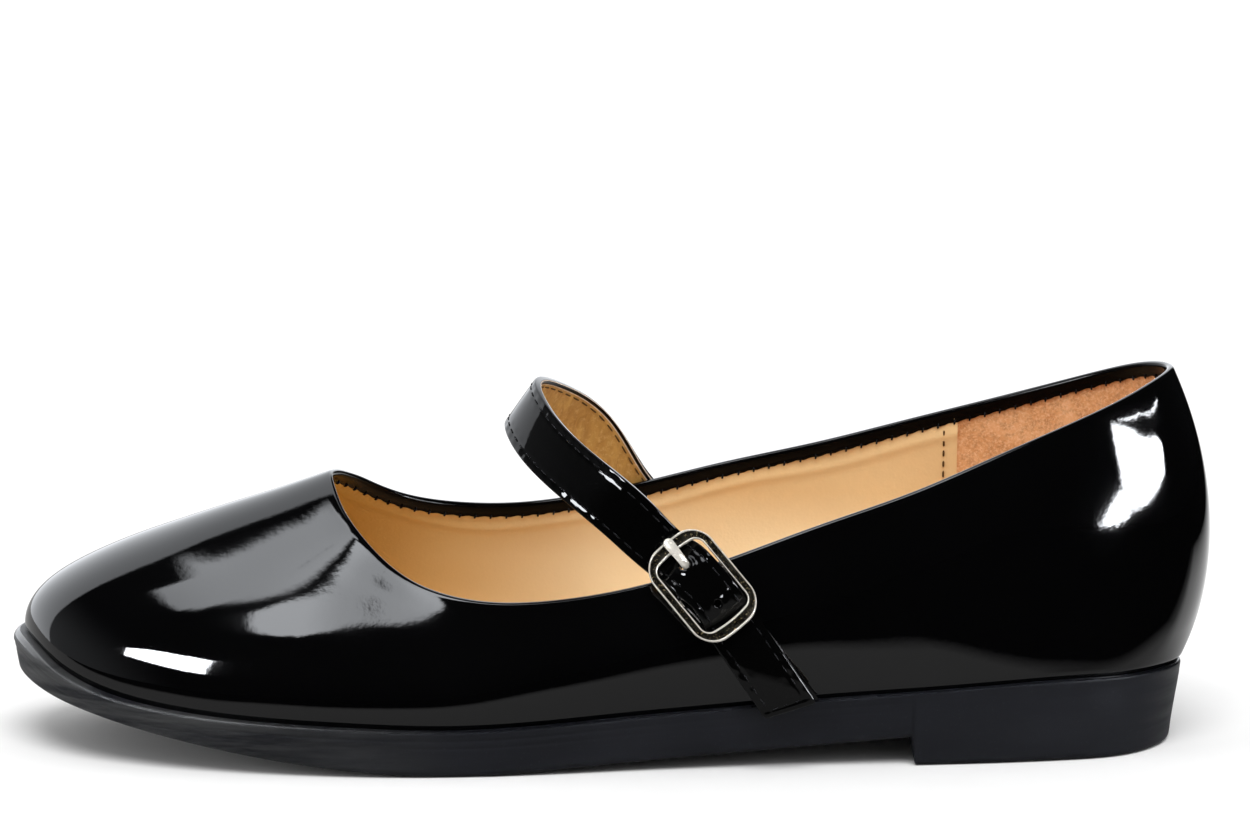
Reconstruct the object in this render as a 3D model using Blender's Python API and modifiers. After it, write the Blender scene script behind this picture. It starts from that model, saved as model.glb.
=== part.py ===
"""Ballet flat with a buckled instep strap, left shoe, as an assembly of separate pieces.

Blender 4.5, metres, +Z up. The toe points to -X, the heel to +X, the lateral (outer) side to -Y.
Every loop round the shoe runs from the toe tip along the lateral side to the back of the heel and
returns along the medial side.
"""
import math

import bmesh
import bpy
import numpy as np
from mathutils import Euler, Matrix, Vector

MM = 0.001
COLLECTION = "ballet_flat"
CUTTERS = "cutters"

# Driving dimensions of the last and of the sole.
SOLE_LENGTH = 0.246
TOE_X = -0.126
BALL_WIDTH = 0.082
COLLAR_HEIGHT = 0.0794
WALL = 0.0020
GAP = 0.0003

# Sole underside: a flat tread under the ball, toe spring before it, an arch behind it, then the heel.
TREAD_FRONT_X = -0.036
TREAD_BACK_X = -0.024
TOE_SPRING = 0.0146
SPRING_POWER = 1.6
ARCH_RISE = 0.0058
ARCH_POWER = 1.1
BREAST_X = 0.0625
BREAST_RUN = 0.0005
SOLE_TAPER = 0.0010
HEEL_TAPER = 0.0022
EDGE_ROUND = 0.0011
RIM_ROUND = 0.0006
RIM_BAND = 0.0032
RIM_BAND_SHARE = 0.15

INSOLE_THICKNESS = 0.0030
INSOLE_EDGE = 0.0006

# Instep strap: a flat band that lies outside both quarters and arches over the instep, wider there
# than at the buckle. A run is how steeply the band goes down a quarter, seen from the side.
STRAP_WIDTH = 0.0108
INSTEP_WIDTH = 0.0114
STRAP_THICKNESS = 0.0018
BAND_GAP = 0.00035
TAIL_RUN = math.radians(54.0)
TAIL_END_Z = 0.0140
TAIL_CUT = math.radians(20.0)
MEDIAL_RUN = math.radians(50.0)
MEDIAL_CROSSING = (0.0035, 0.0470)
MEDIAL_STEP = 0.0085
MEDIAL_STEPS = 7
BAND_STEP = 0.0030
END_LENGTH = 0.0150
HOLE_PLACES = (-0.0042, 0.0132)
HOLE_RADIUS = 0.0008
SLOT_PLACE = 0.0051
SLOT_HALF_LENGTH = 0.0020
SLOT_HALF_WIDTH = 0.0015
CUTTER_HALF_DEPTH = 0.0030

# Buckle: where its centre bar lies on the lateral quarter, and the sizes of its parts. A lift is a
# height off the quarter.
BUCKLE_X = 0.0187
BUCKLE_Z = 0.0377
BUCKLE_RUN = math.radians(49.0)
RUN_CHANGE = 0.0070
FRAME_LENGTH = 0.0233
FRAME_WIDTH = 0.0153
SIDE_BAR = 0.0018
END_BAR = 0.0026
FRAME_CORNER = 0.0048
INNER_CORNER = 0.0016
END_BOW = 0.0007
FRAME_THICKNESS = 0.0016
FRAME_EDGE = 0.0004
FRAME_LIFT = 0.0047
BAR_RADIUS = 0.0008
BAR_LIFT = 0.0024
BAR_END = 0.0067
BUCKLE_STRAP_THICKNESS = 0.0010
BUCKLE_STRAP_LIFT = 0.00085
TURN_GAP = 0.00005
TURN_START = -0.0010
STRAP_END_RANGE = (-0.036, -0.012)
PRONG_HALF_WIDTH = 0.0011
PRONG_HALF_HEIGHT = 0.00045
NOTCH_HALF_WIDTH = 0.0015
NOTCH_REACH = 0.0026
NOTCH_DEPTH = 0.0080
PRONG_LOOP = (math.radians(370.0), math.radians(80.0))
PRONG_TIP = 0.72

# Outline of the sole. along: share of the sole's length from the toe tip. lateral and medial: half
# widths as a share of the ball width. rim: height of the sole's top edge, and inset: how far the
# upper stands inside that edge, both in millimetres.
SOLE_COLUMNS = ("along", "lateral", "medial", "rim", "inset")
SOLE_SECTIONS = (
    (0.000, -0.037, 0.037, 22.8, 2.4),
    (0.015, 0.137, 0.195, 21.8, 2.4),
    (0.040, 0.249, 0.298, 18.6, 2.3),
    (0.080, 0.340, 0.378, 15.2, 2.1),
    (0.140, 0.415, 0.445, 12.6, 1.8),
    (0.220, 0.471, 0.493, 11.0, 1.5),
    (0.300, 0.495, 0.509, 10.2, 1.2),
    (0.370, 0.494, 0.498, 9.7, 1.0),
    (0.450, 0.470, 0.461, 10.3, 0.9),
    (0.530, 0.430, 0.412, 11.6, 0.8),
    (0.610, 0.398, 0.373, 12.9, 0.7),
    (0.690, 0.377, 0.351, 14.4, 0.6),
    (0.770, 0.361, 0.344, 15.6, 0.5),
    (0.840, 0.341, 0.337, 16.7, 0.4),
    (0.900, 0.312, 0.310, 17.4, 0.4),
    (0.945, 0.268, 0.268, 17.5, 0.3),
    (0.978, 0.178, 0.178, 17.3, 0.3),
    (1.000, 0.000, 0.000, 16.9, 0.2),
)

# Topline of the upper, a row for each sole section: along and half widths as above, heights as a
# share of the collar height at the back.
TOPLINE_COLUMNS = ("along", "lateral", "medial", "lateral_height", "medial_height")
TOPLINE_SECTIONS = (
    (0.274, 0.012, -0.012, 0.715, 0.715),
    (0.276, 0.059, 0.032, 0.700, 0.714),
    (0.280, 0.105, 0.076, 0.676, 0.707),
    (0.286, 0.154, 0.124, 0.646, 0.693),
    (0.297, 0.210, 0.183, 0.607, 0.669),
    (0.316, 0.267, 0.244, 0.550, 0.630),
    (0.348, 0.324, 0.307, 0.485, 0.589),
    (0.390, 0.368, 0.349, 0.450, 0.567),
    (0.451, 0.389, 0.365, 0.446, 0.570),
    (0.530, 0.380, 0.357, 0.481, 0.615),
    (0.610, 0.358, 0.340, 0.552, 0.679),
    (0.690, 0.340, 0.328, 0.640, 0.735),
    (0.770, 0.326, 0.313, 0.726, 0.800),
    (0.840, 0.300, 0.290, 0.816, 0.859),
    (0.897, 0.262, 0.257, 0.887, 0.911),
    (0.938, 0.215, 0.215, 0.938, 0.952),
    (0.968, 0.145, 0.145, 0.977, 0.984),
    (0.989, 0.000, 0.000, 1.000, 1.000),
)

# Roundness of the last between sole and topline, in millimetres: the wall leaves the sole upwards by
# rise and outwards by bulge, and leaves the topline outwards by spread and downwards by drop.
FORM_COLUMNS = ("rise", "bulge", "spread", "drop")
FORM_SECTIONS = (
    (14.0, 1.0, 38.5, 13.5),
    (14.0, 1.2, 37.0, 14.0),
    (14.0, 1.5, 34.0, 15.0),
    (14.0, 1.8, 30.0, 15.0),
    (13.5, 2.0, 23.0, 14.0),
    (13.0, 2.2, 15.0, 12.0),
    (12.0, 2.2, 9.0, 10.0),
    (11.0, 2.2, 6.0, 9.0),
    (11.0, 2.5, 5.0, 9.0),
    (11.0, 2.8, 4.5, 10.0),
    (12.0, 3.0, 4.5, 11.0),
    (12.5, 2.6, 4.3, 13.0),
    (11.0, 1.6, 3.9, 15.0),
    (9.5, 1.0, 4.0, 17.0),
    (9.0, 1.0, 4.8, 19.0),
    (12.0, 2.6, 6.3, 20.0),
    (18.0, 8.0, 9.0, 21.0),
    (19.0, 9.0, 10.0, 21.5),
)

# The long strap beside the buckle, in millimetres. distance: up the strap from the centre bar.
# lift: how far its inner face stands off the quarter. shift: how far it lies towards the heel from
# the middle of the buckle.
COURSE_COLUMNS = ("distance", "lift", "shift")
STRAP_COURSE = (
    (-42.0, 1.70, 0.0),
    (-32.0, 1.70, 0.0),
    (-24.0, 1.70, 0.0),
    (-17.0, 1.70, 0.0),
    (-12.5, 1.72, 0.0),
    (-10.3, 1.75, 0.0),
    (-8.0, 1.92, 0.05),
    (-5.5, 3.20, 0.1),
    (-3.0, 4.50, 0.1),
    (0.0, 5.10, 0.0),
    (3.0, 4.75, -0.1),
    (5.2, 3.60, -0.2),
    (7.2, 1.85, -0.6),
    (10.3, 1.15, -1.35),
)

# The arch of the long strap over the instep, at its inner face, in millimetres and degrees. lean is
# how steeply the strap's width rises towards the heel.
ARCH_COLUMNS = ("x", "y", "z", "lean")
STRAP_ARCH = (
    (4.7, -29.6, 51.1, 47.0),
    (-6.0, -23.4, 59.2, 48.0),
    (-14.5, -12.4, 65.8, 51.0),
    (-17.6, 0.5, 70.4, 55.0),
    (-12.8, 13.6, 67.8, 52.0),
    (-4.2, 24.4, 60.0, 46.0),
)

# Centre line of the short strap's end round the centre bar and back, and of the prong beyond its
# loop on the bar: distance up the strap and height off the quarter, in millimetres.
BUCKLE_STRAP_RETURN = ((-2.0, 3.55), (-3.6, 2.70), (-5.2, 2.18))
PRONG_PATH = (
    (1.5, 4.00),
    (3.0, 4.02),
    (4.2, 4.45),
    (5.4, 5.25),
    (6.8, 6.05),
    (8.6, 6.40),
    (10.3, 6.36),
    (12.0, 6.15),
)

# Fineness of the faceted solids.
LOOP_STEPS = 44
PROFILE_STEPS = 11
CROSS_STEPS = 6
BAND_COLUMNS = (-1.0, -0.35, 0.35, 1.0)
BUCKLE_STRAP_ROWS = 10
TURN_STEPS = 8
CORNER_STEPS = 6
PRONG_LOOP_STEPS = 12
PRONG_SIDES = 10
ROD_SIDES = 16
SMOOTH_ANGLE = math.radians(38.0)


def table(columns, rows):
    """Returns a table's columns as arrays, by name."""
    values = np.array(rows, float)
    return {name: values[:, i] for i, name in enumerate(columns)}


class ClosedSpline:
    """Smooth closed curve through points at the given parameters, one period long."""

    def __init__(self, knots, points, period):
        self.knots = np.array(knots, float)
        self.points = np.array(points, float)
        self.period = period
        count = len(self.knots)
        steps = np.append(np.diff(self.knots), period - self.knots[-1] + self.knots[0])
        slopes = (np.roll(self.points, -1, axis=0) - self.points) / steps[:, None]
        matrix = np.zeros((count, count))
        for i in range(count):
            before = steps[i - 1]
            matrix[i, i - 1] += before
            matrix[i, i] += 2.0 * (before + steps[i])
            matrix[i, (i + 1) % count] += steps[i]
        right = 6.0 * (slopes - np.roll(slopes, 1, axis=0))
        self.bends = np.linalg.solve(matrix, right)
        self.steps = steps

    def at(self, parameter):
        """Point on the curve at one parameter."""
        place = (parameter - self.knots[0]) % self.period + self.knots[0]
        i = int(np.searchsorted(self.knots, place, side="right")) - 1
        j = (i + 1) % len(self.knots)
        step = self.steps[i]
        b = (place - self.knots[i]) / step
        a = 1.0 - b
        bend = (a ** 3 - a) * self.bends[i] + (b ** 3 - b) * self.bends[j]
        return a * self.points[i] + b * self.points[j] + bend * step * step / 6.0


def closed_loop(lateral, medial):
    """Points round the shoe: toe tip, lateral side, heel back, and back along the medial side."""
    return np.array(list(lateral) + list(medial[-2:0:-1]))


class Last:
    """The shoe's form: the sole's rim, the upper's wall and the shared parameter round the shoe."""

    def __init__(self):
        sole = table(SOLE_COLUMNS, SOLE_SECTIONS)
        top = table(TOPLINE_COLUMNS, TOPLINE_SECTIONS)
        form = table(FORM_COLUMNS, FORM_SECTIONS)
        x = TOE_X + SOLE_LENGTH * sole["along"]
        rim_z = sole["rim"] * MM
        lateral = np.column_stack([x, -BALL_WIDTH * sole["lateral"], rim_z])
        medial = np.column_stack([x, BALL_WIDTH * sole["medial"], rim_z])
        spans = [np.linalg.norm(np.diff(side[:, :2], axis=0), axis=1) for side in (lateral, medial)]
        side_knots = np.concatenate([[0.0], np.cumsum((spans[0] + spans[1]) / 2.0)])
        self.half = side_knots[-1]
        self.period = 2.0 * self.half
        self.knots = np.concatenate([side_knots, self.period - side_knots[-2:0:-1]])
        self.rim = ClosedSpline(self.knots, closed_loop(lateral, medial), self.period)
        outward = np.array([self.outward(t) for t in self.knots])
        inset = closed_loop(sole["inset"], sole["inset"]) * MM
        feather = self.rim.points - outward * inset[:, None] + np.array([0.0, 0.0, GAP])
        top_x = TOE_X + SOLE_LENGTH * top["along"]
        topline = closed_loop(
            np.column_stack([top_x, -BALL_WIDTH * top["lateral"], COLLAR_HEIGHT * top["lateral_height"]]),
            np.column_stack([top_x, BALL_WIDTH * top["medial"], COLLAR_HEIGHT * top["medial_height"]]),
        )
        away = feather - topline
        away[:, 2] = 0.0
        away /= np.linalg.norm(away, axis=1)[:, None]
        rise, bulge, spread, drop = (closed_loop(form[name], form[name]) * MM for name in FORM_COLUMNS)
        up = np.array([0.0, 0.0, 1.0])
        lower = feather + outward * bulge[:, None] + up * rise[:, None]
        upper = topline + away * spread[:, None] - up * drop[:, None]
        loops = (feather, lower, upper, topline)
        self.loops = [ClosedSpline(self.knots, loop, self.period) for loop in loops]

    def outward(self, parameter):
        """Level direction away from the sole's rim."""
        reach = 0.001
        along = self.rim.at(parameter + reach) - self.rim.at(parameter - reach)
        direction = np.array([-along[1], along[0], 0.0])
        side = direction / np.linalg.norm(direction)
        return side if np.cross(side, along)[2] > 0.0 else -side

    def wall(self, parameter, share):
        """Outer surface of the upper: share is 0 at the sole and 1 at the topline."""
        a, b, c, d = (loop.at(parameter) for loop in self.loops)
        rest = 1.0 - share
        return rest ** 3 * a + 3 * rest ** 2 * share * b + 3 * rest * share ** 2 * c + share ** 3 * d

    def over(self, x, z, lateral):
        """Place and outward normal of the quarter's outer face at a level place (x, z) on one side."""
        side_start = 0.5 if lateral else 1.5
        unknown = np.array([self.half * side_start, 0.6])
        step = np.array([1e-4, 1e-3])
        for _ in range(40):
            here = self.wall(*unknown)
            slopes = np.column_stack([
                (self.wall(unknown[0] + step[0], unknown[1]) - here) / step[0],
                (self.wall(unknown[0], unknown[1] + step[1]) - here) / step[1],
            ])
            miss = np.array([x - here[0], z - here[2]])
            move = np.linalg.solve(slopes[[0, 2]], miss)
            unknown = unknown + np.clip(move, (-0.02, -0.2), (0.02, 0.2))
            if np.abs(miss).max() < 1e-8:
                break
        normal = np.cross(slopes[:, 0], slopes[:, 1])
        normal /= np.linalg.norm(normal)
        return here, normal if normal[1] * (-1.0 if lateral else 1.0) > 0.0 else -normal


def ground(x):
    """Height of the sole's underside at a place along the shoe."""
    if x < TREAD_FRONT_X:
        share = (TREAD_FRONT_X - x) / (TREAD_FRONT_X - TOE_X)
        return TOE_SPRING * share ** SPRING_POWER
    if TREAD_BACK_X < x < BREAST_X:
        share = (x - TREAD_BACK_X) / (BREAST_X - TREAD_BACK_X)
        return ARCH_RISE * share ** ARCH_POWER
    return 0.0


def new_object(name, vertices, faces, material):
    mesh = bpy.data.meshes.new(name)
    mesh.from_pydata([tuple(map(float, v)) for v in vertices], [], faces)
    mesh.validate()
    work = bmesh.new()
    work.from_mesh(mesh)
    bmesh.ops.recalc_face_normals(work, faces=work.faces)
    work.to_mesh(mesh)
    work.free()
    mesh.materials.append(material)
    piece = bpy.data.objects.new(name, mesh)
    bpy.data.collections[COLLECTION].objects.link(piece)
    return piece


def smooth(piece):
    """Shades a piece smooth apart from its real edges."""
    piece.data.shade_smooth()
    piece.data.set_sharp_from_angle(angle=SMOOTH_ANGLE)


def new_material(name, colour, roughness, metallic=0.0):
    material = bpy.data.materials.new(name)
    material.use_nodes = True
    shader = material.node_tree.nodes["Principled BSDF"]
    shader.inputs["Base Color"].default_value = (*colour, 1.0)
    shader.inputs["Roughness"].default_value = roughness
    shader.inputs["Metallic"].default_value = metallic
    return material


def side_rows(last):
    """Parameters of the rows across the sole, from the toe tip to the heel back.

    The row next to the heel's breast is doubled, so that the sole steps down to the heel there."""
    rows = [last.half * i / LOOP_STEPS for i in range(LOOP_STEPS + 1)]
    breast = crossing(lambda t: last.rim.at(t)[0] - BREAST_X, 0.0, last.half)
    nearest = min(range(len(rows)), key=lambda i: abs(rows[i] - breast))
    rows[nearest] = breast - BREAST_RUN
    rows.insert(nearest + 1, breast + BREAST_RUN)
    return rows


def lofted_slab(name, last, rows, rings, material):
    """Closed solid from rings that run round the shoe, its top and bottom filled row by row.

    rings is a list of functions of the parameter, from the top ring to the bottom ring."""
    count = len(rows)
    loop = rows + [last.period - t for t in rows[-2:0:-1]]
    size = len(loop)
    vertices = [ring(t) for ring in rings for t in loop]
    faces = []
    for level in range(len(rings) - 1):
        for i in range(size):
            j = (i + 1) % size
            a, b = level * size, (level + 1) * size
            faces.append((a + i, a + j, b + j, b + i))
    for level in (0, len(rings) - 1):
        base = level * size
        previous = [base] * (CROSS_STEPS + 1)
        for i in range(1, count):
            near, far = base + i, base + (size - i) % size
            if i == count - 1:
                current = [near] * (CROSS_STEPS + 1)
            else:
                current = [near]
                for k in range(1, CROSS_STEPS):
                    share = k / CROSS_STEPS
                    current.append(len(vertices))
                    vertices.append(np.array(vertices[near]) * (1 - share) + np.array(vertices[far]) * share)
                current.append(far)
            for k in range(CROSS_STEPS):
                corners = [previous[k], previous[k + 1], current[k + 1], current[k]]
                unique = list(dict.fromkeys(corners))
                faces.append(unique)
            previous = current
    return new_object(name, vertices, faces, material)


def make_outsole(last, material):
    def ring(inset, level, from_ground):
        def place(t):
            point = last.rim.at(t) - last.outward(t) * inset(t)
            floor = ground(last.rim.at(t)[0])
            point[2] = floor + level if from_ground else point[2] - level
            return point
        return place

    def taper(t):
        x = last.rim.at(t)[0]
        share = min(max((x - BREAST_X) / (TOE_X + SOLE_LENGTH - BREAST_X), 0.0), 1.0)
        return SOLE_TAPER + (HEEL_TAPER - SOLE_TAPER) * share

    rings = [
        ring(lambda t: RIM_ROUND, 0.0, False),
        ring(lambda t: 0.0, RIM_ROUND, False),
        ring(lambda t: RIM_BAND_SHARE * taper(t), RIM_BAND, False),
        ring(taper, EDGE_ROUND, True),
        ring(lambda t: taper(t) + 0.3 * EDGE_ROUND, 0.3 * EDGE_ROUND, True),
        ring(lambda t: taper(t) + EDGE_ROUND, 0.0, True),
    ]
    piece = lofted_slab("outsole", last, side_rows(last), rings, material)
    smooth(piece)
    return piece


def make_upper(last, material):
    size = 2 * LOOP_STEPS
    vertices = []
    for level in range(PROFILE_STEPS + 1):
        for i in range(size):
            vertices.append(last.wall(last.period * i / size, level / PROFILE_STEPS))
    faces = []
    for level in range(PROFILE_STEPS):
        for i in range(size):
            j = (i + 1) % size
            a, b = level * size, (level + 1) * size
            faces.append((a + i, a + j, b + j, b + i))
    piece = new_object("upper", vertices, faces, material)
    face_outward(piece)
    shell = piece.modifiers.new("wall", "SOLIDIFY")
    shell.thickness = WALL
    shell.offset = -1.0
    shell.use_even_offset = True
    piece.data.shade_smooth()
    return piece


def face_outward(piece):
    """Turns an open shell's faces away from the middle of the shoe."""
    mesh = piece.data
    total = 0.0
    for face in mesh.polygons:
        middle = face.center
        total += face.normal.x * middle.x + face.normal.y * middle.y
    if total < 0.0:
        mesh.flip_normals()


def make_insole(last, material):
    def ring(inset, level):
        def place(t):
            point = last.loops[0].at(t) - last.outward(t) * (WALL + 2.0 * GAP + inset)
            point[2] += level
            return point
        return place

    rings = [
        ring(INSOLE_EDGE, INSOLE_THICKNESS),
        ring(0.0, INSOLE_THICKNESS - INSOLE_EDGE),
        ring(0.0, 0.0),
    ]
    rows = [last.half * i / LOOP_STEPS for i in range(LOOP_STEPS + 1)]
    piece = lofted_slab("insole", last, rows, rings, material)
    smooth(piece)
    return piece


def unit(vector):
    return vector / np.linalg.norm(vector)


class SmoothPath:
    """Natural cubic curve through rows of numbers whose first three are a place in space."""

    def __init__(self, rows):
        self.rows = np.array(rows, float)
        spans = np.linalg.norm(np.diff(self.rows[:, :3], axis=0), axis=1)
        self.knots = np.concatenate([[0.0], np.cumsum(spans)])
        self.length = self.knots[-1]
        count = len(self.knots)
        matrix = np.eye(count)
        right = np.zeros_like(self.rows)
        for i in range(1, count - 1):
            before, after = spans[i - 1], spans[i]
            matrix[i, i - 1:i + 2] = (before, 2.0 * (before + after), after)
            rise_before = (self.rows[i] - self.rows[i - 1]) / before
            rise_after = (self.rows[i + 1] - self.rows[i]) / after
            right[i] = 6.0 * (rise_after - rise_before)
        self.bends = np.linalg.solve(matrix, right)
        self.spans = spans

    def at(self, distance):
        """The row of numbers at a distance along the path."""
        i = int(np.searchsorted(self.knots, distance, side="right")) - 1
        i = min(max(i, 0), len(self.spans) - 1)
        b = (distance - self.knots[i]) / self.spans[i]
        a = 1.0 - b
        bend = (a ** 3 - a) * self.bends[i] + (b ** 3 - b) * self.bends[i + 1]
        return a * self.rows[i] + b * self.rows[i + 1] + bend * self.spans[i] ** 2 / 6.0


class BuckleSeat:
    """The lateral quarter under the buckle: places measured along, across and off the strap there."""

    def __init__(self, last):
        self.last = last
        self.origin, self.normal = last.over(BUCKLE_X, BUCKLE_Z, True)
        n = self.normal
        run = np.array([-math.cos(BUCKLE_RUN), math.sin(BUCKLE_RUN)])
        self.up = unit(np.array([run[0], -(n[0] * run[0] + n[2] * run[1]) / n[1], run[1]]))
        self.across = unit(np.cross(self.up, n))
        self.across *= math.copysign(1.0, self.across[0])

    def flat(self, distance, width, lift):
        """Place measured from the flat plane that touches the quarter at the centre bar."""
        return self.origin + self.up * distance + self.across * width + self.normal * lift

    def draped(self, distance, width, lift):
        """Place measured from the quarter itself below the centre bar, and its outward normal."""
        if distance >= 0.0:
            return self.flat(distance, width, lift), self.normal
        x, z = BUCKLE_X, BUCKLE_Z
        for run, reach in ((BUCKLE_RUN, min(-distance, RUN_CHANGE)), (TAIL_RUN, -distance - RUN_CHANGE)):
            x += math.cos(run) * max(reach, 0.0)
            z -= math.sin(run) * max(reach, 0.0)
        x += self.across[0] * width
        z += self.across[2] * width
        point, normal = self.last.over(x, z, True)
        return point + normal * lift, normal

    def matrix(self, lift):
        """Turns a piece's x along the strap, y across it and z off the quarter."""
        place = self.flat(0.0, 0.0, lift)
        across = np.cross(self.normal, self.up)
        columns = (self.up, across, self.normal, place)
        return Matrix([[column[i] for column in columns] for i in range(3)] + [[0.0, 0.0, 0.0, 1.0]])


def band_grid(name, rows, material, thickness, offset):
    """Band with Solidify on an open grid of rows, each row a list of places across the band."""
    width = len(rows[0])
    vertices = [place for row in rows for place in row]
    faces = []
    for i in range(len(rows) - 1):
        for k in range(width - 1):
            a = i * width + k
            faces.append((a, a + 1, a + width + 1, a + width))
    piece = new_object(name, vertices, faces, material)
    shell = piece.modifiers.new("thickness", "SOLIDIFY")
    shell.thickness = thickness
    shell.offset = offset
    shell.use_even_offset = True
    return piece


def crossing(function, low, high):
    """Where a rising function of one number passes zero, between two ends."""
    for _ in range(40):
        middle = (low + high) / 2.0
        low, high = (middle, high) if function(middle) < 0.0 else (low, middle)
    return (low + high) / 2.0


def rim_height(last, x):
    """Height of the sole's top edge beside a place along the shoe."""
    return last.rim.at(crossing(lambda t: last.rim.at(t)[0] - x, 0.0, last.half))[2]


class StrapCourse:
    """Where the long strap's inner face lies, from its tail to its end on the medial side."""

    def __init__(self, last, seat):
        lateral = table(COURSE_COLUMNS, STRAP_COURSE)
        arched = table(ARCH_COLUMNS, STRAP_ARCH)
        course = []
        for distance, lift, shift in zip(*(lateral[name] * MM for name in COURSE_COLUMNS)):
            place, normal = seat.draped(distance, shift, lift)
            course.append((*place, *normal, STRAP_WIDTH / 2.0))
        medial = []
        for k in range(MEDIAL_STEPS):
            reach = MEDIAL_STEP * k
            x = MEDIAL_CROSSING[0] + math.cos(MEDIAL_RUN) * reach
            z = MEDIAL_CROSSING[1] - math.sin(MEDIAL_RUN) * reach
            place, normal = last.over(x, z, False)
            medial.append((*(place + normal * BAND_GAP), *normal, INSTEP_WIDTH / 2.0))
        arch = np.column_stack([arched["x"], arched["y"], arched["z"]]) * MM
        path = [np.array(course[-1][:3]), *arch, np.array(medial[0][:3])]
        for i, lean in enumerate(np.radians(arched["lean"])):
            across = np.array([math.cos(lean), 0.0, math.sin(lean)])
            normal = unit(np.cross(across, path[i + 2] - path[i]))
            course.append((*arch[i], *normal, INSTEP_WIDTH / 2.0))
        self.path = SmoothPath(course + medial)
        self.bar = self.path.knots[list(lateral["distance"]).index(0.0)]

        def below_cut(distance, share):
            place = self.place(distance, share)
            centre = self.place(self.tail, 0.0)
            drop = (place[0] - centre[0]) * math.sin(TAIL_CUT)
            return (place[2] - centre[2]) * math.cos(TAIL_CUT) - drop

        def above_rim(distance, share):
            place = self.place(distance, share)
            return rim_height(last, place[0]) + GAP - place[2]

        self.tail = crossing(lambda d: self.place(d, 0.0)[2] - TAIL_END_Z, 0.0, self.bar)
        low, high = self.tail - STRAP_WIDTH / 2.0, self.tail + STRAP_WIDTH / 2.0
        self.starts = [crossing(lambda d: below_cut(d, share), low, high) for share in BAND_COLUMNS]
        low, high = self.path.length - 2.0 * END_LENGTH, self.path.length
        self.ends = [crossing(lambda d: above_rim(d, share), low, high) for share in BAND_COLUMNS]

    def axes(self, distance):
        """Directions along the strap, across it and out of its face."""
        reach = 0.0005
        along = unit(self.path.at(distance + reach)[:3] - self.path.at(distance - reach)[:3])
        normal = self.path.at(distance)[3:6]
        normal = unit(normal - along * np.dot(normal, along))
        return along, np.cross(along, normal), normal

    def place(self, distance, share, lift=0.0):
        """Place on the band: share is -1 at its front edge and 1 at its back edge."""
        _, across, normal = self.axes(distance)
        here = self.path.at(distance)
        return here[:3] + across * here[6] * share + normal * lift

    def rows(self):
        """Grid of places on the inner face, its end rows cut to the tail and to the sole's edge."""
        first, last = max(self.starts) + END_LENGTH, min(self.ends) - END_LENGTH
        count = int(round((last - first) / BAND_STEP))
        middle = [first + (last - first) * i / count for i in range(count + 1)]
        steps = int(round(END_LENGTH / BAND_STEP)) + 1
        rows = []
        for i in range(steps):
            share = i / steps
            rows.append([start * (1 - share) + first * share for start in self.starts])
        rows += [[distance] * len(BAND_COLUMNS) for distance in middle]
        for i in range(1, steps + 1):
            share = i / steps
            rows.append([last * (1 - share) + end * share for end in self.ends])
        return [[self.place(d, share) for d, share in zip(row, BAND_COLUMNS)] for row in rows]


def make_instep_strap(course, material):
    piece = band_grid("instep_strap", course.rows(), material, STRAP_THICKNESS, 0.0)
    shell = piece.modifiers["thickness"]
    shell.offset = outward_offset(piece)
    holes = [(place, HOLE_RADIUS, HOLE_RADIUS) for place in HOLE_PLACES]
    holes.append((SLOT_PLACE, SLOT_HALF_LENGTH, SLOT_HALF_WIDTH))
    for i, (place, length, width) in enumerate(holes):
        along, across, normal = course.axes(course.bar + place)
        centre = course.place(course.bar + place, 0.0, STRAP_THICKNESS / 2.0)
        cutter = round_cutter(f"strap_hole_{i}", centre, along, normal, length, width)
        cut = piece.modifiers.new(cutter.name, "BOOLEAN")
        cut.operation = "DIFFERENCE"
        cut.object = cutter
    smooth(piece)
    return piece


def outward_offset(piece):
    """Solidify offset that thickens the strap away from the foot."""
    highest = max(piece.data.polygons, key=lambda face: face.center.z)
    return 1.0 if highest.normal.z > 0.0 else -1.0


def round_cutter(name, centre, along, normal, half_length, half_width):
    """Round or oval cutter through a band."""
    bpy.ops.mesh.primitive_cylinder_add(vertices=ROD_SIDES, radius=1.0, depth=2.0)
    cutter = bpy.context.object
    cutter.name = name
    side = np.cross(normal, along)
    for vertex in cutter.data.vertices:
        vertex.co *= Vector((half_length, half_width, CUTTER_HALF_DEPTH))
    cutter.matrix_world = Matrix(
        [[along[i], side[i], normal[i], centre[i]] for i in range(3)] + [[0.0, 0.0, 0.0, 1.0]]
    )
    as_cutter(cutter)
    return cutter


def as_cutter(piece):
    for collection in piece.users_collection:
        collection.objects.unlink(piece)
    bpy.data.collections[CUTTERS].objects.link(piece)
    piece.hide_render = True
    piece.display_type = "WIRE"


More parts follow.
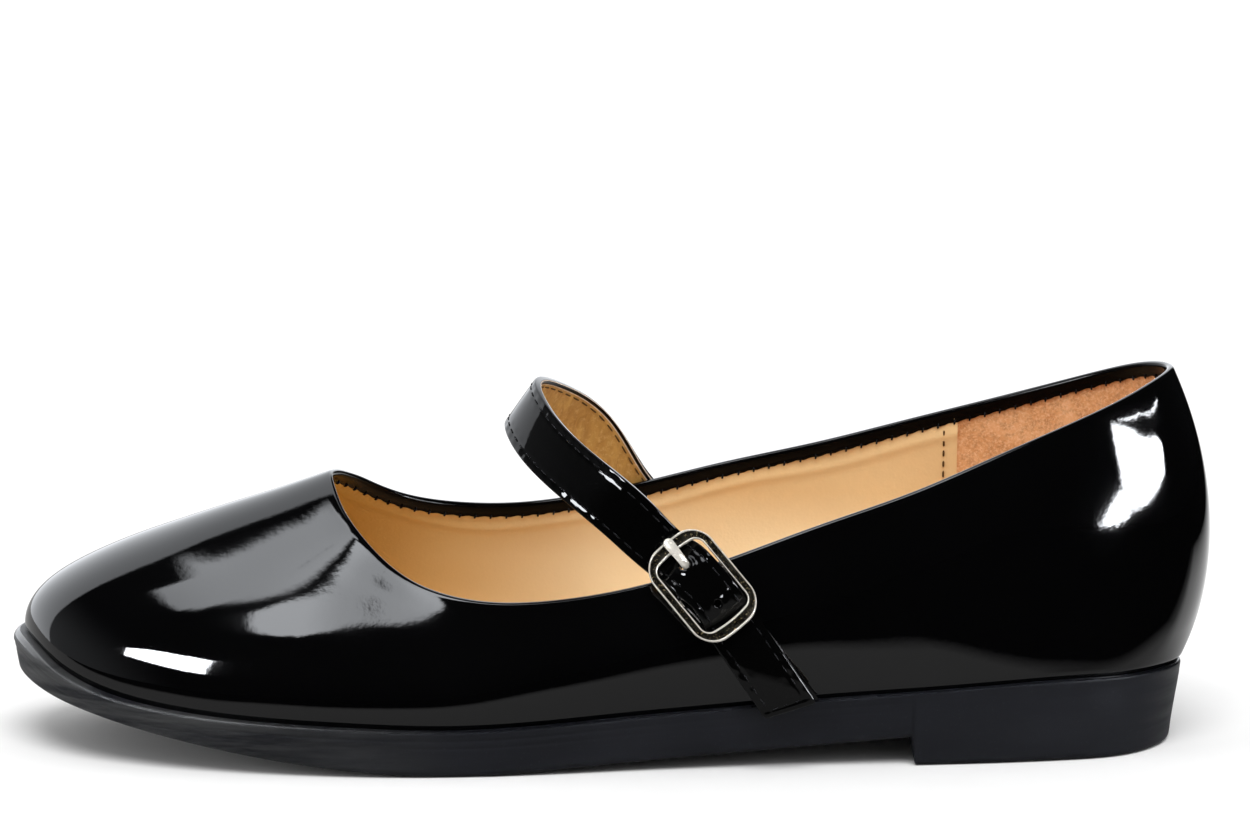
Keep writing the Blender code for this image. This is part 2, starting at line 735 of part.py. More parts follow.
def make_buckle_strap(last, seat, material):
    """Short strap from the sole's edge up the lateral quarter, looped round the centre bar."""
    widths = [STRAP_WIDTH / 2.0 * share for share in BAND_COLUMNS]

    def above_rim(distance, width):
        place = seat.draped(distance, width, BUCKLE_STRAP_LIFT)[0]
        return place[2] - rim_height(last, place[0]) - GAP

    ends = [crossing(lambda d: above_rim(d, width), *STRAP_END_RANGE) for width in widths]
    rows = []
    for i in range(BUCKLE_STRAP_ROWS):
        row = []
        for end, width in zip(ends, widths):
            distance = end + (TURN_START - end) * i / (BUCKLE_STRAP_ROWS - 1)
            row.append(seat.draped(distance, width, BUCKLE_STRAP_LIFT)[0])
        rows.append(row)
    turn_radius = BAR_LIFT - BUCKLE_STRAP_LIFT + TURN_GAP
    profile = []
    for i in range(TURN_STEPS + 1):
        angle = math.pi * (i / TURN_STEPS - 0.5)
        profile.append((turn_radius * math.cos(angle), BAR_LIFT + turn_radius * math.sin(angle)))
    profile += [(distance * MM, height * MM) for distance, height in BUCKLE_STRAP_RETURN]
    for distance, height in profile:
        rows.append([seat.flat(distance, width, height) for width in widths])
    piece = band_grid("buckle_strap", rows, material, BUCKLE_STRAP_THICKNESS, 0.0)
    bpy.ops.mesh.primitive_cube_add(size=1.0)
    notch = bpy.context.object
    notch.name = "prong_notch"
    for vertex in notch.data.vertices:
        vertex.co *= Vector((2.0 * NOTCH_REACH, 2.0 * NOTCH_HALF_WIDTH, NOTCH_DEPTH))
    notch.matrix_world = seat.matrix(BAR_LIFT)
    as_cutter(notch)
    cut = piece.modifiers.new("prong_notch", "BOOLEAN")
    cut.operation = "DIFFERENCE"
    cut.object = notch
    smooth(piece)
    return piece


def frame_outline(half_length, half_width, corner):
    """Rounded rectangle whose two ends bow outwards, as places in its own plane."""
    outline = []
    for quarter, (sx, sy) in enumerate(((1, 1), (-1, 1), (-1, -1), (1, -1))):
        for i in range(CORNER_STEPS + 1):
            share = i / CORNER_STEPS if quarter % 2 == 0 else 1.0 - i / CORNER_STEPS
            angle = share * math.pi / 2.0
            x = half_length - corner + corner * math.cos(angle)
            y = half_width - corner + corner * math.sin(angle)
            bow = END_BOW * (1.0 - (y / half_width) ** 2)
            outline.append((sx * (x - END_BOW + bow), sy * y))
        if quarter % 2 == 1:
            outline.append((sx * half_length, 0.0))
    return outline


def make_buckle_frame(seat, material):
    curve = bpy.data.curves.new("buckle_frame", "CURVE")
    curve.dimensions = "2D"
    curve.fill_mode = "BOTH"
    curve.extrude = FRAME_THICKNESS / 2.0 - FRAME_EDGE
    curve.bevel_depth = FRAME_EDGE
    curve.bevel_resolution = 1
    curve.offset = -FRAME_EDGE
    outer = frame_outline(FRAME_LENGTH / 2.0, FRAME_WIDTH / 2.0, FRAME_CORNER)
    inner = frame_outline(FRAME_LENGTH / 2.0 - END_BAR, FRAME_WIDTH / 2.0 - SIDE_BAR, INNER_CORNER)
    for outline in (outer, inner):
        spline = curve.splines.new("POLY")
        spline.points.add(len(outline) - 1)
        for point, (x, y) in zip(spline.points, outline):
            point.co = (x, y, 0.0, 1.0)
        spline.use_cyclic_u = True
    guide = bpy.data.objects.new("buckle_frame_outline", curve)
    bpy.data.collections[CUTTERS].objects.link(guide)
    bpy.context.view_layer.update()
    graph = bpy.context.evaluated_depsgraph_get()
    mesh = bpy.data.meshes.new_from_object(guide.evaluated_get(graph))
    bpy.data.objects.remove(guide)
    work = bmesh.new()
    work.from_mesh(mesh)
    bmesh.ops.remove_doubles(work, verts=work.verts, dist=1e-6)
    bmesh.ops.recalc_face_normals(work, faces=work.faces)
    work.to_mesh(mesh)
    work.free()
    mesh.name = "buckle_frame"
    mesh.materials.clear()
    mesh.materials.append(material)
    piece = bpy.data.objects.new("buckle_frame", mesh)
    bpy.data.collections[COLLECTION].objects.link(piece)
    piece.matrix_world = seat.matrix(FRAME_LIFT)
    drop = FRAME_LIFT - BAR_LIFT
    rods = [("centre_bar", (0.0, 0.0, -drop), (math.pi / 2.0, 0.0, 0.0), 2.0 * BAR_END + BAR_RADIUS)]
    for name, side in (("front_post", -1.0), ("back_post", 1.0)):
        rods.append((name, (0.0, side * BAR_END, -drop / 2.0), (0.0, 0.0, 0.0), drop))
    for name, location, rotation, depth in rods:
        bpy.ops.mesh.primitive_cylinder_add(vertices=ROD_SIDES, radius=BAR_RADIUS, depth=depth)
        rod = bpy.context.object
        rod.name = name
        rod.matrix_world = piece.matrix_world @ Matrix.LocRotScale(location, Euler(rotation), None)
        as_cutter(rod)
        join = piece.modifiers.new(rod.name, "BOOLEAN")
        join.operation = "UNION"
        join.object = rod
    smooth(piece)
    return piece


def make_buckle_prong(seat, material):
    """Prong: looped round the centre bar, up through the strap's hole and over the top bar."""
    radius = BAR_RADIUS + GAP + PRONG_HALF_HEIGHT
    path = []
    start, stop = PRONG_LOOP
    for i in range(PRONG_LOOP_STEPS + 1):
        angle = start + (stop - start) * i / PRONG_LOOP_STEPS
        path.append((radius * math.cos(angle), BAR_LIFT + radius * math.sin(angle)))
    path += [(distance * MM, height * MM) for distance, height in PRONG_PATH]
    path = np.array(path)
    around = PRONG_SIDES
    vertices = []
    for i, (distance, height) in enumerate(path):
        along = path[min(i + 1, len(path) - 1)] - path[max(i - 1, 0)]
        along /= np.linalg.norm(along)
        taper = PRONG_TIP if i == len(path) - 1 else 1.0
        for k in range(around):
            angle = 2.0 * math.pi * k / around
            width = PRONG_HALF_WIDTH * math.cos(angle) * taper
            rise = PRONG_HALF_HEIGHT * math.sin(angle) * taper
            vertices.append(seat.flat(distance - along[1] * rise, width, height + along[0] * rise))
    faces = []
    for i in range(len(path) - 1):
        for k in range(around):
            j = (k + 1) % around
            a, b = i * around, (i + 1) * around
            faces.append((a + k, a + j, b + j, b + k))
    faces.append(tuple(range(around)))
    faces.append(tuple(range(len(vertices) - around, len(vertices))))
    piece = new_object("buckle_prong", vertices, faces, material)
    smooth(piece)
    return piece


def centre_on_origin(pieces):
    """Hangs the pieces on an empty, placed so that the shoe's box stands centred on the origin."""
    bpy.context.view_layer.update()
    graph = bpy.context.evaluated_depsgraph_get()
    places = []
    for piece in pieces:
        shape = piece.evaluated_get(graph)
        places += [shape.matrix_world @ vertex.co for vertex in shape.data.vertices]
    low = [min(place[i] for place in places) for i in range(3)]
    high = [max(place[i] for place in places) for i in range(3)]
    shoe = bpy.data.objects.new("shoe", None)
    bpy.data.collections[COLLECTION].objects.link(shoe)
    for piece in list(pieces) + list(bpy.data.collections[CUTTERS].objects):
        piece.parent = shoe
    shoe.location = (-(low[0] + high[0]) / 2.0, -(low[1] + high[1]) / 2.0, -low[2])


def main():
    for item in list(bpy.data.objects):
        bpy.data.objects.remove(item)
    for name in (COLLECTION, CUTTERS):
        bpy.context.scene.collection.children.link(bpy.data.collections.new(name))
    rubber = new_material("outsole_rubber", (0.022, 0.024, 0.028), 0.62)
    patent = new_material("patent_leather", (0.006, 0.006, 0.007), 0.06)
    strap_patent = new_material("strap_patent_leather", (0.007, 0.007, 0.008), 0.08)
    lining = new_material("insole_leather", (0.62, 0.40, 0.22), 0.60)
    nickel = new_material("nickel_plate", (0.78, 0.76, 0.72), 0.18, 1.0)
    last = Last()
    seat = BuckleSeat(last)
    course = StrapCourse(last, seat)
    pieces = [
        make_outsole(last, rubber),
        make_upper(last, patent),
        make_insole(last, lining),
        make_instep_strap(course, strap_patent),
        make_buckle_strap(last, seat, strap_patent),
        make_buckle_frame(seat, nickel),
        make_buckle_prong(seat, nickel),
    ]
    centre_on_origin(pieces)


main()
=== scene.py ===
import math

import bmesh
import bpy
import numpy as np
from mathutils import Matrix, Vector


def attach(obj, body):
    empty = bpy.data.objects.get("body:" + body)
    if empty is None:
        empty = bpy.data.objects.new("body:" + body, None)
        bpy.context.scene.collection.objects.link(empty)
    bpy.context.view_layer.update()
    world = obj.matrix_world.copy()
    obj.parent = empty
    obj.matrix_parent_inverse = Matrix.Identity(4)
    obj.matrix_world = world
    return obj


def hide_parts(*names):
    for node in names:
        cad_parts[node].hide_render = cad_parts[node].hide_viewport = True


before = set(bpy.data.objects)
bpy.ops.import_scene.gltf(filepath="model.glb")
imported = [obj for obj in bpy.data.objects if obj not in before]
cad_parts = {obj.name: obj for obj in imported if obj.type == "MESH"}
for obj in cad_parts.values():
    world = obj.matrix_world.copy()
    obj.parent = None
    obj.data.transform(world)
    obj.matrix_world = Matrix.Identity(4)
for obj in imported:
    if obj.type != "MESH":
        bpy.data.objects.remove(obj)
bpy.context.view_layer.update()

# The looks of a left ballet flat. Metres, toe to -X, heel to +X, lateral side with the buckle to -Y.
# The dimensions and tables from here down to PRONG_PATH repeat those of the CAD part, so that each
# finer piece lies where its solid lies.
MM = 0.001
SOLE_LENGTH = 0.246
TOE_X = -0.126
BALL_WIDTH = 0.082
COLLAR_HEIGHT = 0.0794
GAP = 0.0003
TREAD_FRONT_X = -0.036
TREAD_BACK_X = -0.024
TOE_SPRING = 0.0146
SPRING_POWER = 1.6
ARCH_RISE = 0.0058
ARCH_POWER = 1.1
BREAST_X = 0.0625
BREAST_RUN = 0.0005
SOLE_TAPER = 0.0010
HEEL_TAPER = 0.0022
HEEL_LENGTH = TOE_X + SOLE_LENGTH - BREAST_X
INSOLE_THICKNESS = 0.0030

STRAP_WIDTH = 0.0108
INSTEP_WIDTH = 0.0114
STRAP_THICKNESS = 0.0018
BAND_GAP = 0.00035
TAIL_RUN = math.radians(54.0)
TAIL_END_Z = 0.0140
TAIL_CUT = math.radians(20.0)
MEDIAL_RUN = math.radians(50.0)
MEDIAL_CROSSING = (0.0035, 0.0470)
MEDIAL_STEP = 0.0085
MEDIAL_STEPS = 7
END_LENGTH = 0.0150
HOLE_PLACES = (-0.0042, 0.0132)
HOLE_RADIUS = 0.0008
SLOT_PLACE = 0.0051
SLOT_HALF_LENGTH = 0.0020
SLOT_HALF_WIDTH = 0.0015

BUCKLE_X = 0.0187
BUCKLE_Z = 0.0377
BUCKLE_RUN = math.radians(49.0)
RUN_CHANGE = 0.0070
FRAME_LENGTH = 0.0233
FRAME_WIDTH = 0.0153
SIDE_BAR = 0.0018
END_BAR = 0.0026
FRAME_CORNER = 0.0048
INNER_CORNER = 0.0016
END_BOW = 0.0007
FRAME_LIFT = 0.0047
BAR_RADIUS = 0.0008
BAR_LIFT = 0.0024
BAR_END = 0.0067
BUCKLE_STRAP_THICKNESS = 0.0010
BUCKLE_STRAP_LIFT = 0.00085
TURN_GAP = 0.00005
TURN_START = -0.0010
STRAP_END_RANGE = (-0.036, -0.012)

SOLE_COLUMNS = ("along", "lateral", "medial", "rim", "inset")
SOLE_SECTIONS = (
    (0.000, -0.037, 0.037, 22.8, 2.4),
    (0.015, 0.137, 0.195, 21.8, 2.4),
    (0.040, 0.249, 0.298, 18.6, 2.3),
    (0.080, 0.340, 0.378, 15.2, 2.1),
    (0.140, 0.415, 0.445, 12.6, 1.8),
    (0.220, 0.471, 0.493, 11.0, 1.5),
    (0.300, 0.495, 0.509, 10.2, 1.2),
    (0.370, 0.494, 0.498, 9.7, 1.0),
    (0.450, 0.470, 0.461, 10.3, 0.9),
    (0.530, 0.430, 0.412, 11.6, 0.8),
    (0.610, 0.398, 0.373, 12.9, 0.7),
    (0.690, 0.377, 0.351, 14.4, 0.6),
    (0.770, 0.361, 0.344, 15.6, 0.5),
    (0.840, 0.341, 0.337, 16.7, 0.4),
    (0.900, 0.312, 0.310, 17.4, 0.4),
    (0.945, 0.268, 0.268, 17.5, 0.3),
    (0.978, 0.178, 0.178, 17.3, 0.3),
    (1.000, 0.000, 0.000, 16.9, 0.2),
)
TOPLINE_COLUMNS = ("along", "lateral", "medial", "lateral_height", "medial_height")
TOPLINE_SECTIONS = (
    (0.274, 0.012, -0.012, 0.715, 0.715),
    (0.276, 0.059, 0.032, 0.700, 0.714),
    (0.280, 0.105, 0.076, 0.676, 0.707),
    (0.286, 0.154, 0.124, 0.646, 0.693),
    (0.297, 0.210, 0.183, 0.607, 0.669),
    (0.316, 0.267, 0.244, 0.550, 0.630),
    (0.348, 0.324, 0.307, 0.485, 0.589),
    (0.390, 0.368, 0.349, 0.450, 0.567),
    (0.451, 0.389, 0.365, 0.446, 0.570),
    (0.530, 0.380, 0.357, 0.481, 0.615),
    (0.610, 0.358, 0.340, 0.552, 0.679),
    (0.690, 0.340, 0.328, 0.640, 0.735),
    (0.770, 0.326, 0.313, 0.726, 0.800),
    (0.840, 0.300, 0.290, 0.816, 0.859),
    (0.897, 0.262, 0.257, 0.887, 0.911),
    (0.938, 0.215, 0.215, 0.938, 0.952),
    (0.968, 0.145, 0.145, 0.977, 0.984),
    (0.989, 0.000, 0.000, 1.000, 1.000),
)
FORM_COLUMNS = ("rise", "bulge", "spread", "drop")
FORM_SECTIONS = (
    (14.0, 1.0, 38.5, 13.5),
    (14.0, 1.2, 37.0, 14.0),
    (14.0, 1.5, 34.0, 15.0),
    (14.0, 1.8, 30.0, 15.0),
    (13.5, 2.0, 23.0, 14.0),
    (13.0, 2.2, 15.0, 12.0),
    (12.0, 2.2, 9.0, 10.0),
    (11.0, 2.2, 6.0, 9.0),
    (11.0, 2.5, 5.0, 9.0),
    (11.0, 2.8, 4.5, 10.0),
    (12.0, 3.0, 4.5, 11.0),
    (12.5, 2.6, 4.3, 13.0),
    (11.0, 1.6, 3.9, 15.0),
    (9.5, 1.0, 4.0, 17.0),
    (9.0, 1.0, 4.8, 19.0),
    (12.0, 2.6, 6.3, 20.0),
    (18.0, 8.0, 9.0, 21.0),
    (19.0, 9.0, 10.0, 21.5),
)
COURSE_COLUMNS = ("distance", "lift", "shift")
STRAP_COURSE = (
    (-42.0, 1.70, 0.0),
    (-32.0, 1.70, 0.0),
    (-24.0, 1.70, 0.0),
    (-17.0, 1.70, 0.0),
    (-12.5, 1.72, 0.0),
    (-10.3, 1.75, 0.0),
    (-8.0, 1.92, 0.05),
    (-5.5, 3.20, 0.1),
    (-3.0, 4.50, 0.1),
    (0.0, 5.10, 0.0),
    (3.0, 4.75, -0.1),
    (5.2, 3.60, -0.2),
    (7.2, 1.85, -0.6),
    (10.3, 1.15, -1.35),
)
ARCH_COLUMNS = ("x", "y", "z", "lean")
STRAP_ARCH = (
    (4.7, -29.6, 51.1, 47.0),
    (-6.0, -23.4, 59.2, 48.0),
    (-14.5, -12.4, 65.8, 51.0),
    (-17.6, 0.5, 70.4, 55.0),
    (-12.8, 13.6, 67.8, 52.0),
    (-4.2, 24.4, 60.0, 46.0),
)
BUCKLE_STRAP_RETURN = ((-2.0, 3.55), (-3.6, 2.70), (-5.2, 2.18))
PRONG_PATH = (
    (1.5, 4.00),
    (3.0, 4.02),
    (4.2, 4.45),
    (5.4, 5.25),
    (6.8, 6.05),
    (8.6, 6.40),
    (10.3, 6.36),
    (12.0, 6.15),
)

# What the looks add to the CAD part's dimensions, from here down to PRONG_LOOP. The middle of the
# part's outline was put at the frame's origin, which moved it by SHIFT. LEVEL keeps the level parts
# of a vector, HALVINGS are the steps of a search, and points closer than WELD are joined.
SHIFT = np.array([0.00012515, -0.00048802, 0.0])
UP = np.array([0.0, 0.0, 1.0])
LEVEL = np.array([1.0, 1.0, 0.0])
HALVINGS = 40
WELD = 2e-6

# The upper: rows and columns, depths below the topline, and distances in from the outer face.
LOOP = 600
RIM_PLACES = 400
OUTER_ROWS = 76
FOOT_SHARE = 0.05
FINE_SHARES = np.linspace(0.0, 1.0, 181)
EDGE_SHARES = np.linspace(0.0, 1.0, 121)
INSIDE_ROWS = 64
LINING_COLUMNS = 560
GRIP_COLUMNS = 160
INSIDE_TOP = 0.0014
TUCK_DEPTH = 0.0005
TUCK_HEIGHT = 0.0012
FOLD_RADIUS = 0.00085
FOLD_INNER = 2.0 * FOLD_RADIUS
BAND_DEPTH = 0.0023
BAND_BACK = 0.00142
SKIN = 0.00093
LINING_FACE = 0.00138
LINING_BACK = 0.00098
GRIP_FACE = 0.00112
LINING_EDGE_X = 0.0742
GRIP_EDGE_X = 0.0722

# Stitches.
STITCH_RINGS = 7
STITCH_SIDES = 8
THREAD_RADIUS = 0.00022
TOP_PITCH = 0.0034
TOP_STITCH_HALF = 0.0006
TOP_STITCH_SLANT = 0.00008
SEAM_X = 0.0713
SEAM_PLACES = 400
SEAM_FOOT = 0.006
SEAM_PITCH = 0.0023
SEAM_STITCH = 0.0014
STRAP_THREAD_RADIUS = 0.00018
STITCH_PITCH = 0.0030
STITCH_LENGTH = 0.0022
STITCH_INSET = 0.0016
STITCH_MARGINS = (0.0022, 0.0015)
UNDER_CLEAR = 0.012
TAIL_STITCHES = (-0.42, 0.0, 0.42)
TAIL_STITCH_HALF = 0.17
TAIL_STITCH_INSET = STITCH_INSET + 0.0002
GROOVE_REACH = 0.00035
TAIL_GROOVE = 0.00016

# The sock: rows and columns, then each hollow's or swell's height, place and reach along, and place
# and reach across.
SOCK_ROWS = 200
SOCK_COLUMNS = 37
SOCK_FORMS = (
    (-0.0009, 0.086, 0.020, 0.0, 0.016),
    (-0.0006, -0.050, 0.022, 0.0, 0.026),
    (0.0007, 0.020, 0.030, 0.014, 0.012),
)

# The sole. BREAST_ROWS are rows beside the heel's breast, in shares of its run, and RIM_LINE the
# rings of faces that shine as a thin line on the rim.
SOLE_ROWS = 330
SIDE_ROWS = 42
BREAST_ROWS = (-2.2, -1.3, -1.0, -0.6, -0.2, 0.2, 0.6, 1.0, 1.3, 2.2)
RIM_ROUND = 0.0007
TOE_ROUND = 0.0011
EDGE_ROUND = 0.0012
RIM_LINE = range(4, 7)
TREAD_PITCH = 0.0034
TREAD_DEPTH = 0.00035

# The straps. Heights are over the inner face, and places along are measured from the centre bar. Each
# of SEEN_HOLES is its place, half length and half width.
BAND_ROWS = 640
BAND_COLUMNS = 34
EDGE_SOFT = 0.00034
LINING_PART = 0.00065
RAW_EDGE = 0.00035
BACK_MARGIN = 0.0008
PALE_STRIP = 0.0002
WAIST = 0.15
WAIST_PLACE = -0.0030
WAIST_REACH = 0.0034
END_ROUND = 0.0011
END_NARROW = 0.16
TAIL_ROUND = 0.0012
TAIL_THIN = 0.38
TAIL_CROWN = 0.00016
CROWN_RANGE = (-0.010, -0.016)
TAIL_CURL = 0.0025
CURL_START = 0.009
CURL_RUN = 0.022
SEEN_HOLES = (
    (HOLE_PLACES[0], HOLE_RADIUS, HOLE_RADIUS),
    (HOLE_PLACES[1], HOLE_RADIUS, HOLE_RADIUS),
    (SLOT_PLACE - 0.0002, SLOT_HALF_LENGTH * 0.66, SLOT_HALF_WIDTH * 0.81),
)
HOLE_FLOOR = 0.00035
SLOT_FLOOR = -0.0006
CUTTER_HEIGHT = 0.0034
TAB_COLUMNS = 15
TAB_ROWS = 40
TAB_EDGE = 0.0004
NOTCH_HALF_LENGTH = 0.0026
NOTCH_HALF_WIDTH = 0.0015
NOTCH_DEPTH = 0.004

# The buckle frame's cross-section: share of the way in from the outer outline and height off the
# frame's middle in mm. SUNK_FACES are the faces of its sunk, dull band, coloured near black as a
# painted dark reflection.
FRAME_SECTION = (
    (0.02, -0.70), (0.00, -0.50), (0.00, 0.50), (0.02, 0.70), (0.05, 0.80), (0.10, 0.80), (0.12, 0.75),
    (0.16, 0.55), (0.20, 0.52), (0.50, 0.50), (0.80, 0.52), (0.84, 0.55), (0.88, 0.75), (0.91, 0.80),
    (0.95, 0.80), (0.98, 0.70), (1.00, 0.50), (1.00, -0.50), (0.98, -0.70), (0.90, -0.80), (0.10, -0.80),
)
SUNK_FACES = range(7, 11)
PRONG_ROWS = 150
PRONG_HALF_WIDTH = 0.0011
PRONG_HALF_HEIGHT = 0.00045
PRONG_TIP = 0.0011
PRONG_LOOP = (math.radians(370.0), math.radians(80.0))


def table(columns, rows):
    values = np.array(rows, float)
    return {name: values[:, i] for i, name in enumerate(columns)}


def unit(vectors):
    return vectors / np.linalg.norm(vectors, axis=-1, keepdims=True)


def travelled(places):
    """How far each place of a row lies along it."""
    return np.concatenate([[0.0], np.cumsum(np.linalg.norm(np.diff(places, axis=0), axis=1))])


def halving(function, low, high):
    """Where rising functions pass zero, for arrays of ends."""
    low, high = np.array(low, float), np.array(high, float)
    for _ in range(HALVINGS):
        middle = (low + high) / 2.0
        below = function(middle) < 0.0
        low = np.where(below, middle, low)
        high = np.where(below, high, middle)
    return (low + high) / 2.0


def bump_curve(value, centre, width):
    return np.exp(-(((value - centre) / width) ** 2))


def ease(low, high, value):
    """Smooth step from 0 at low to 1 at high."""
    share = np.clip((value - low) / (high - low), 0.0, 1.0)
    return share * share * (3.0 - 2.0 * share)


def quarter_round(distance, reach):
    """Rises like a quarter of a circle, from 0 at an edge to 1 at the reach."""
    return np.sqrt(1.0 - (1.0 - np.clip(distance / reach, 0.0, 1.0)) ** 2)


def crowded(count, power):
    """Shares from -1 to 1 that lie closer together at both ends."""
    sweep = np.linspace(-1.0, 1.0, count)
    return np.sign(sweep) * (1.0 - (1.0 - np.abs(sweep)) ** power)


class Curve:
    """Cubic curve through rows of numbers at rising knots: closed where it has a period."""

    def __init__(self, knots, rows, period=None):
        self.knots, self.rows, self.period = np.array(knots, float), np.array(rows, float), period
        self.steps = np.diff(self.knots)
        if period is not None:
            self.steps = np.append(self.steps, period - self.knots[-1] + self.knots[0])
        self.count = len(self.knots)
        slopes = (np.roll(self.rows, -1, axis=0) - self.rows)[:len(self.steps)] / self.steps[:, None]
        matrix = np.eye(self.count)
        right = np.zeros_like(self.rows)
        for i in range(self.count) if period is not None else range(1, self.count - 1):
            before, after = self.steps[i - 1], self.steps[i]
            matrix[i, i - 1] = before
            matrix[i, i] = 2.0 * (before + after)
            matrix[i, (i + 1) % self.count] = after
            right[i] = 6.0 * (slopes[i] - slopes[i - 1])
        self.bends = np.linalg.solve(matrix, right)

    def at(self, parameter):
        place = np.asarray(parameter, float)
        if self.period is not None:
            place = (place - self.knots[0]) % self.period + self.knots[0]
        i = np.clip(np.searchsorted(self.knots, place, side="right") - 1, 0, len(self.steps) - 1)
        j = (i + 1) % self.count
        step = self.steps[i][..., None]
        b = (place - self.knots[i])[..., None] / step
        a = 1.0 - b
        bend = (a ** 3 - a) * self.bends[i] + (b ** 3 - b) * self.bends[j]
        return a * self.rows[i] + b * self.rows[j] + bend * step ** 2 / 6.0


def smooth_path(rows, place_columns=3):
    """Curve through rows of numbers whose first few are a place, measured along itself."""
    rows = np.array(rows, float)
    return Curve(travelled(rows[:, :place_columns]), rows)


def closed_loop(lateral, medial):
    return np.array(list(lateral) + list(medial[-2:0:-1]))


def two_sides(section, heights, names):
    """Places of a section table on the lateral and the medial side."""
    x = TOE_X + SOLE_LENGTH * section["along"]
    return [np.column_stack([x, sign * BALL_WIDTH * section[name], section_heights])
            for sign, name, section_heights in zip((-1.0, 1.0), names, heights)]


class Last:
    """The shoe's form: the sole's rim, the upper's wall and the shared parameter round the shoe."""

    def __init__(self):
        sole = table(SOLE_COLUMNS, SOLE_SECTIONS)
        top = table(TOPLINE_COLUMNS, TOPLINE_SECTIONS)
        form = table(FORM_COLUMNS, FORM_SECTIONS)
        sides = two_sides(sole, [sole["rim"] * MM] * 2, ("lateral", "medial"))
        side_knots = sum(travelled(side[:, :2]) for side in sides) / 2.0
        self.half = side_knots[-1]
        self.period = 2.0 * self.half
        knots = np.concatenate([side_knots, self.period - side_knots[-2:0:-1]])
        self.rim = Curve(knots, closed_loop(*sides), self.period)
        outward = self.outward(knots)
        inset = closed_loop(sole["inset"], sole["inset"]) * MM
        feather = self.rim.rows - outward * inset[:, None] + UP * GAP
        top_heights = [COLLAR_HEIGHT * top[name] for name in ("lateral_height", "medial_height")]
        topline = closed_loop(*two_sides(top, top_heights, ("lateral", "medial")))
        away = unit((feather - topline) * LEVEL)
        shaping = [closed_loop(form[name], form[name])[:, None] * MM for name in FORM_COLUMNS]
        rise, bulge, spread, drop = shaping
        lower = feather + outward * bulge + UP * rise
        upper = topline + away * spread - UP * drop
        self.loops = [Curve(knots, loop, self.period) for loop in (feather, lower, upper, topline)]
        self.rim_line = self.rim.at(np.linspace(0.0, self.half, RIM_PLACES))

    def outward(self, parameter):
        """Level direction away from the sole's rim."""
        reach = 0.001
        parameter = np.asarray(parameter, float)
        along = self.rim.at(parameter + reach) - self.rim.at(parameter - reach)
        return unit(np.stack([along[..., 1], -along[..., 0], np.zeros(along.shape[:-1])], -1))

    def wall(self, parameter, share):
        """Outer surface of the upper: share is 0 at the sole and 1 at the topline."""
        a, b, c, d = (loop.at(parameter) for loop in self.loops)
        s = np.asarray(share, float)[..., None]
        rest = 1.0 - s
        return rest ** 3 * a + 3 * rest ** 2 * s * b + 3 * rest * s ** 2 * c + s ** 3 * d

    def normal(self, parameter, share):
        """Outward normal of the upper's wall."""
        step_t, step_s = 5e-4, 2e-3
        along = self.wall(parameter + step_t, share) - self.wall(parameter - step_t, share)
        rise = self.wall(parameter, np.minimum(share + step_s, 1.0))
        return unit(np.cross(along, rise - self.wall(parameter, np.maximum(share - step_s, 0.0))))

    def inner(self, parameter, share, inward):
        """Place moved in from the wall's outer face."""
        inward = np.asarray(inward, float)[..., None]
        return self.wall(parameter, share) - self.normal(parameter, share) * inward

    def rim_height(self, x):
        return np.interp(x, self.rim_line[:, 0], self.rim_line[:, 2])

    def over(self, x, z, lateral):
        """Place and outward normal of the quarter's outer face at a level place (x, z) on one side."""
        unknown = np.array([self.half * (0.5 if lateral else 1.5), 0.6])
        step_t, step_s = 1e-4, 1e-3
        for _ in range(40):
            here = self.wall(*unknown)
            slopes = np.column_stack([
                (self.wall(unknown[0] + step_t, unknown[1]) - here) / step_t,
                (self.wall(unknown[0], unknown[1] + step_s) - here) / step_s,
            ])
            miss = np.array([x - here[0], z - here[2]])
            move = np.linalg.solve(slopes[[0, 2]], miss)
            unknown = unknown + np.clip(move, (-0.02, -0.2), (0.02, 0.2))
            if np.abs(miss).max() < 1e-8:
                break
        normal = unit(np.cross(slopes[:, 0], slopes[:, 1]))
        return here, normal if normal[1] * (-1.0 if lateral else 1.0) > 0.0 else -normal


def underside(x):
    """Height of the sole's underside, with the heel's breast as a steep smooth step."""
    toe = np.clip((TREAD_FRONT_X - x) / (TREAD_FRONT_X - TOE_X), 0.0, 1.0)
    arch = np.clip((x - TREAD_BACK_X) / (BREAST_X - TREAD_BACK_X), 0.0, 1.0)
    heel = ease(BREAST_X - BREAST_RUN, BREAST_X + BREAST_RUN, x)
    return (TOE_SPRING * toe ** SPRING_POWER + ARCH_RISE * arch ** ARCH_POWER) * (1.0 - heel)


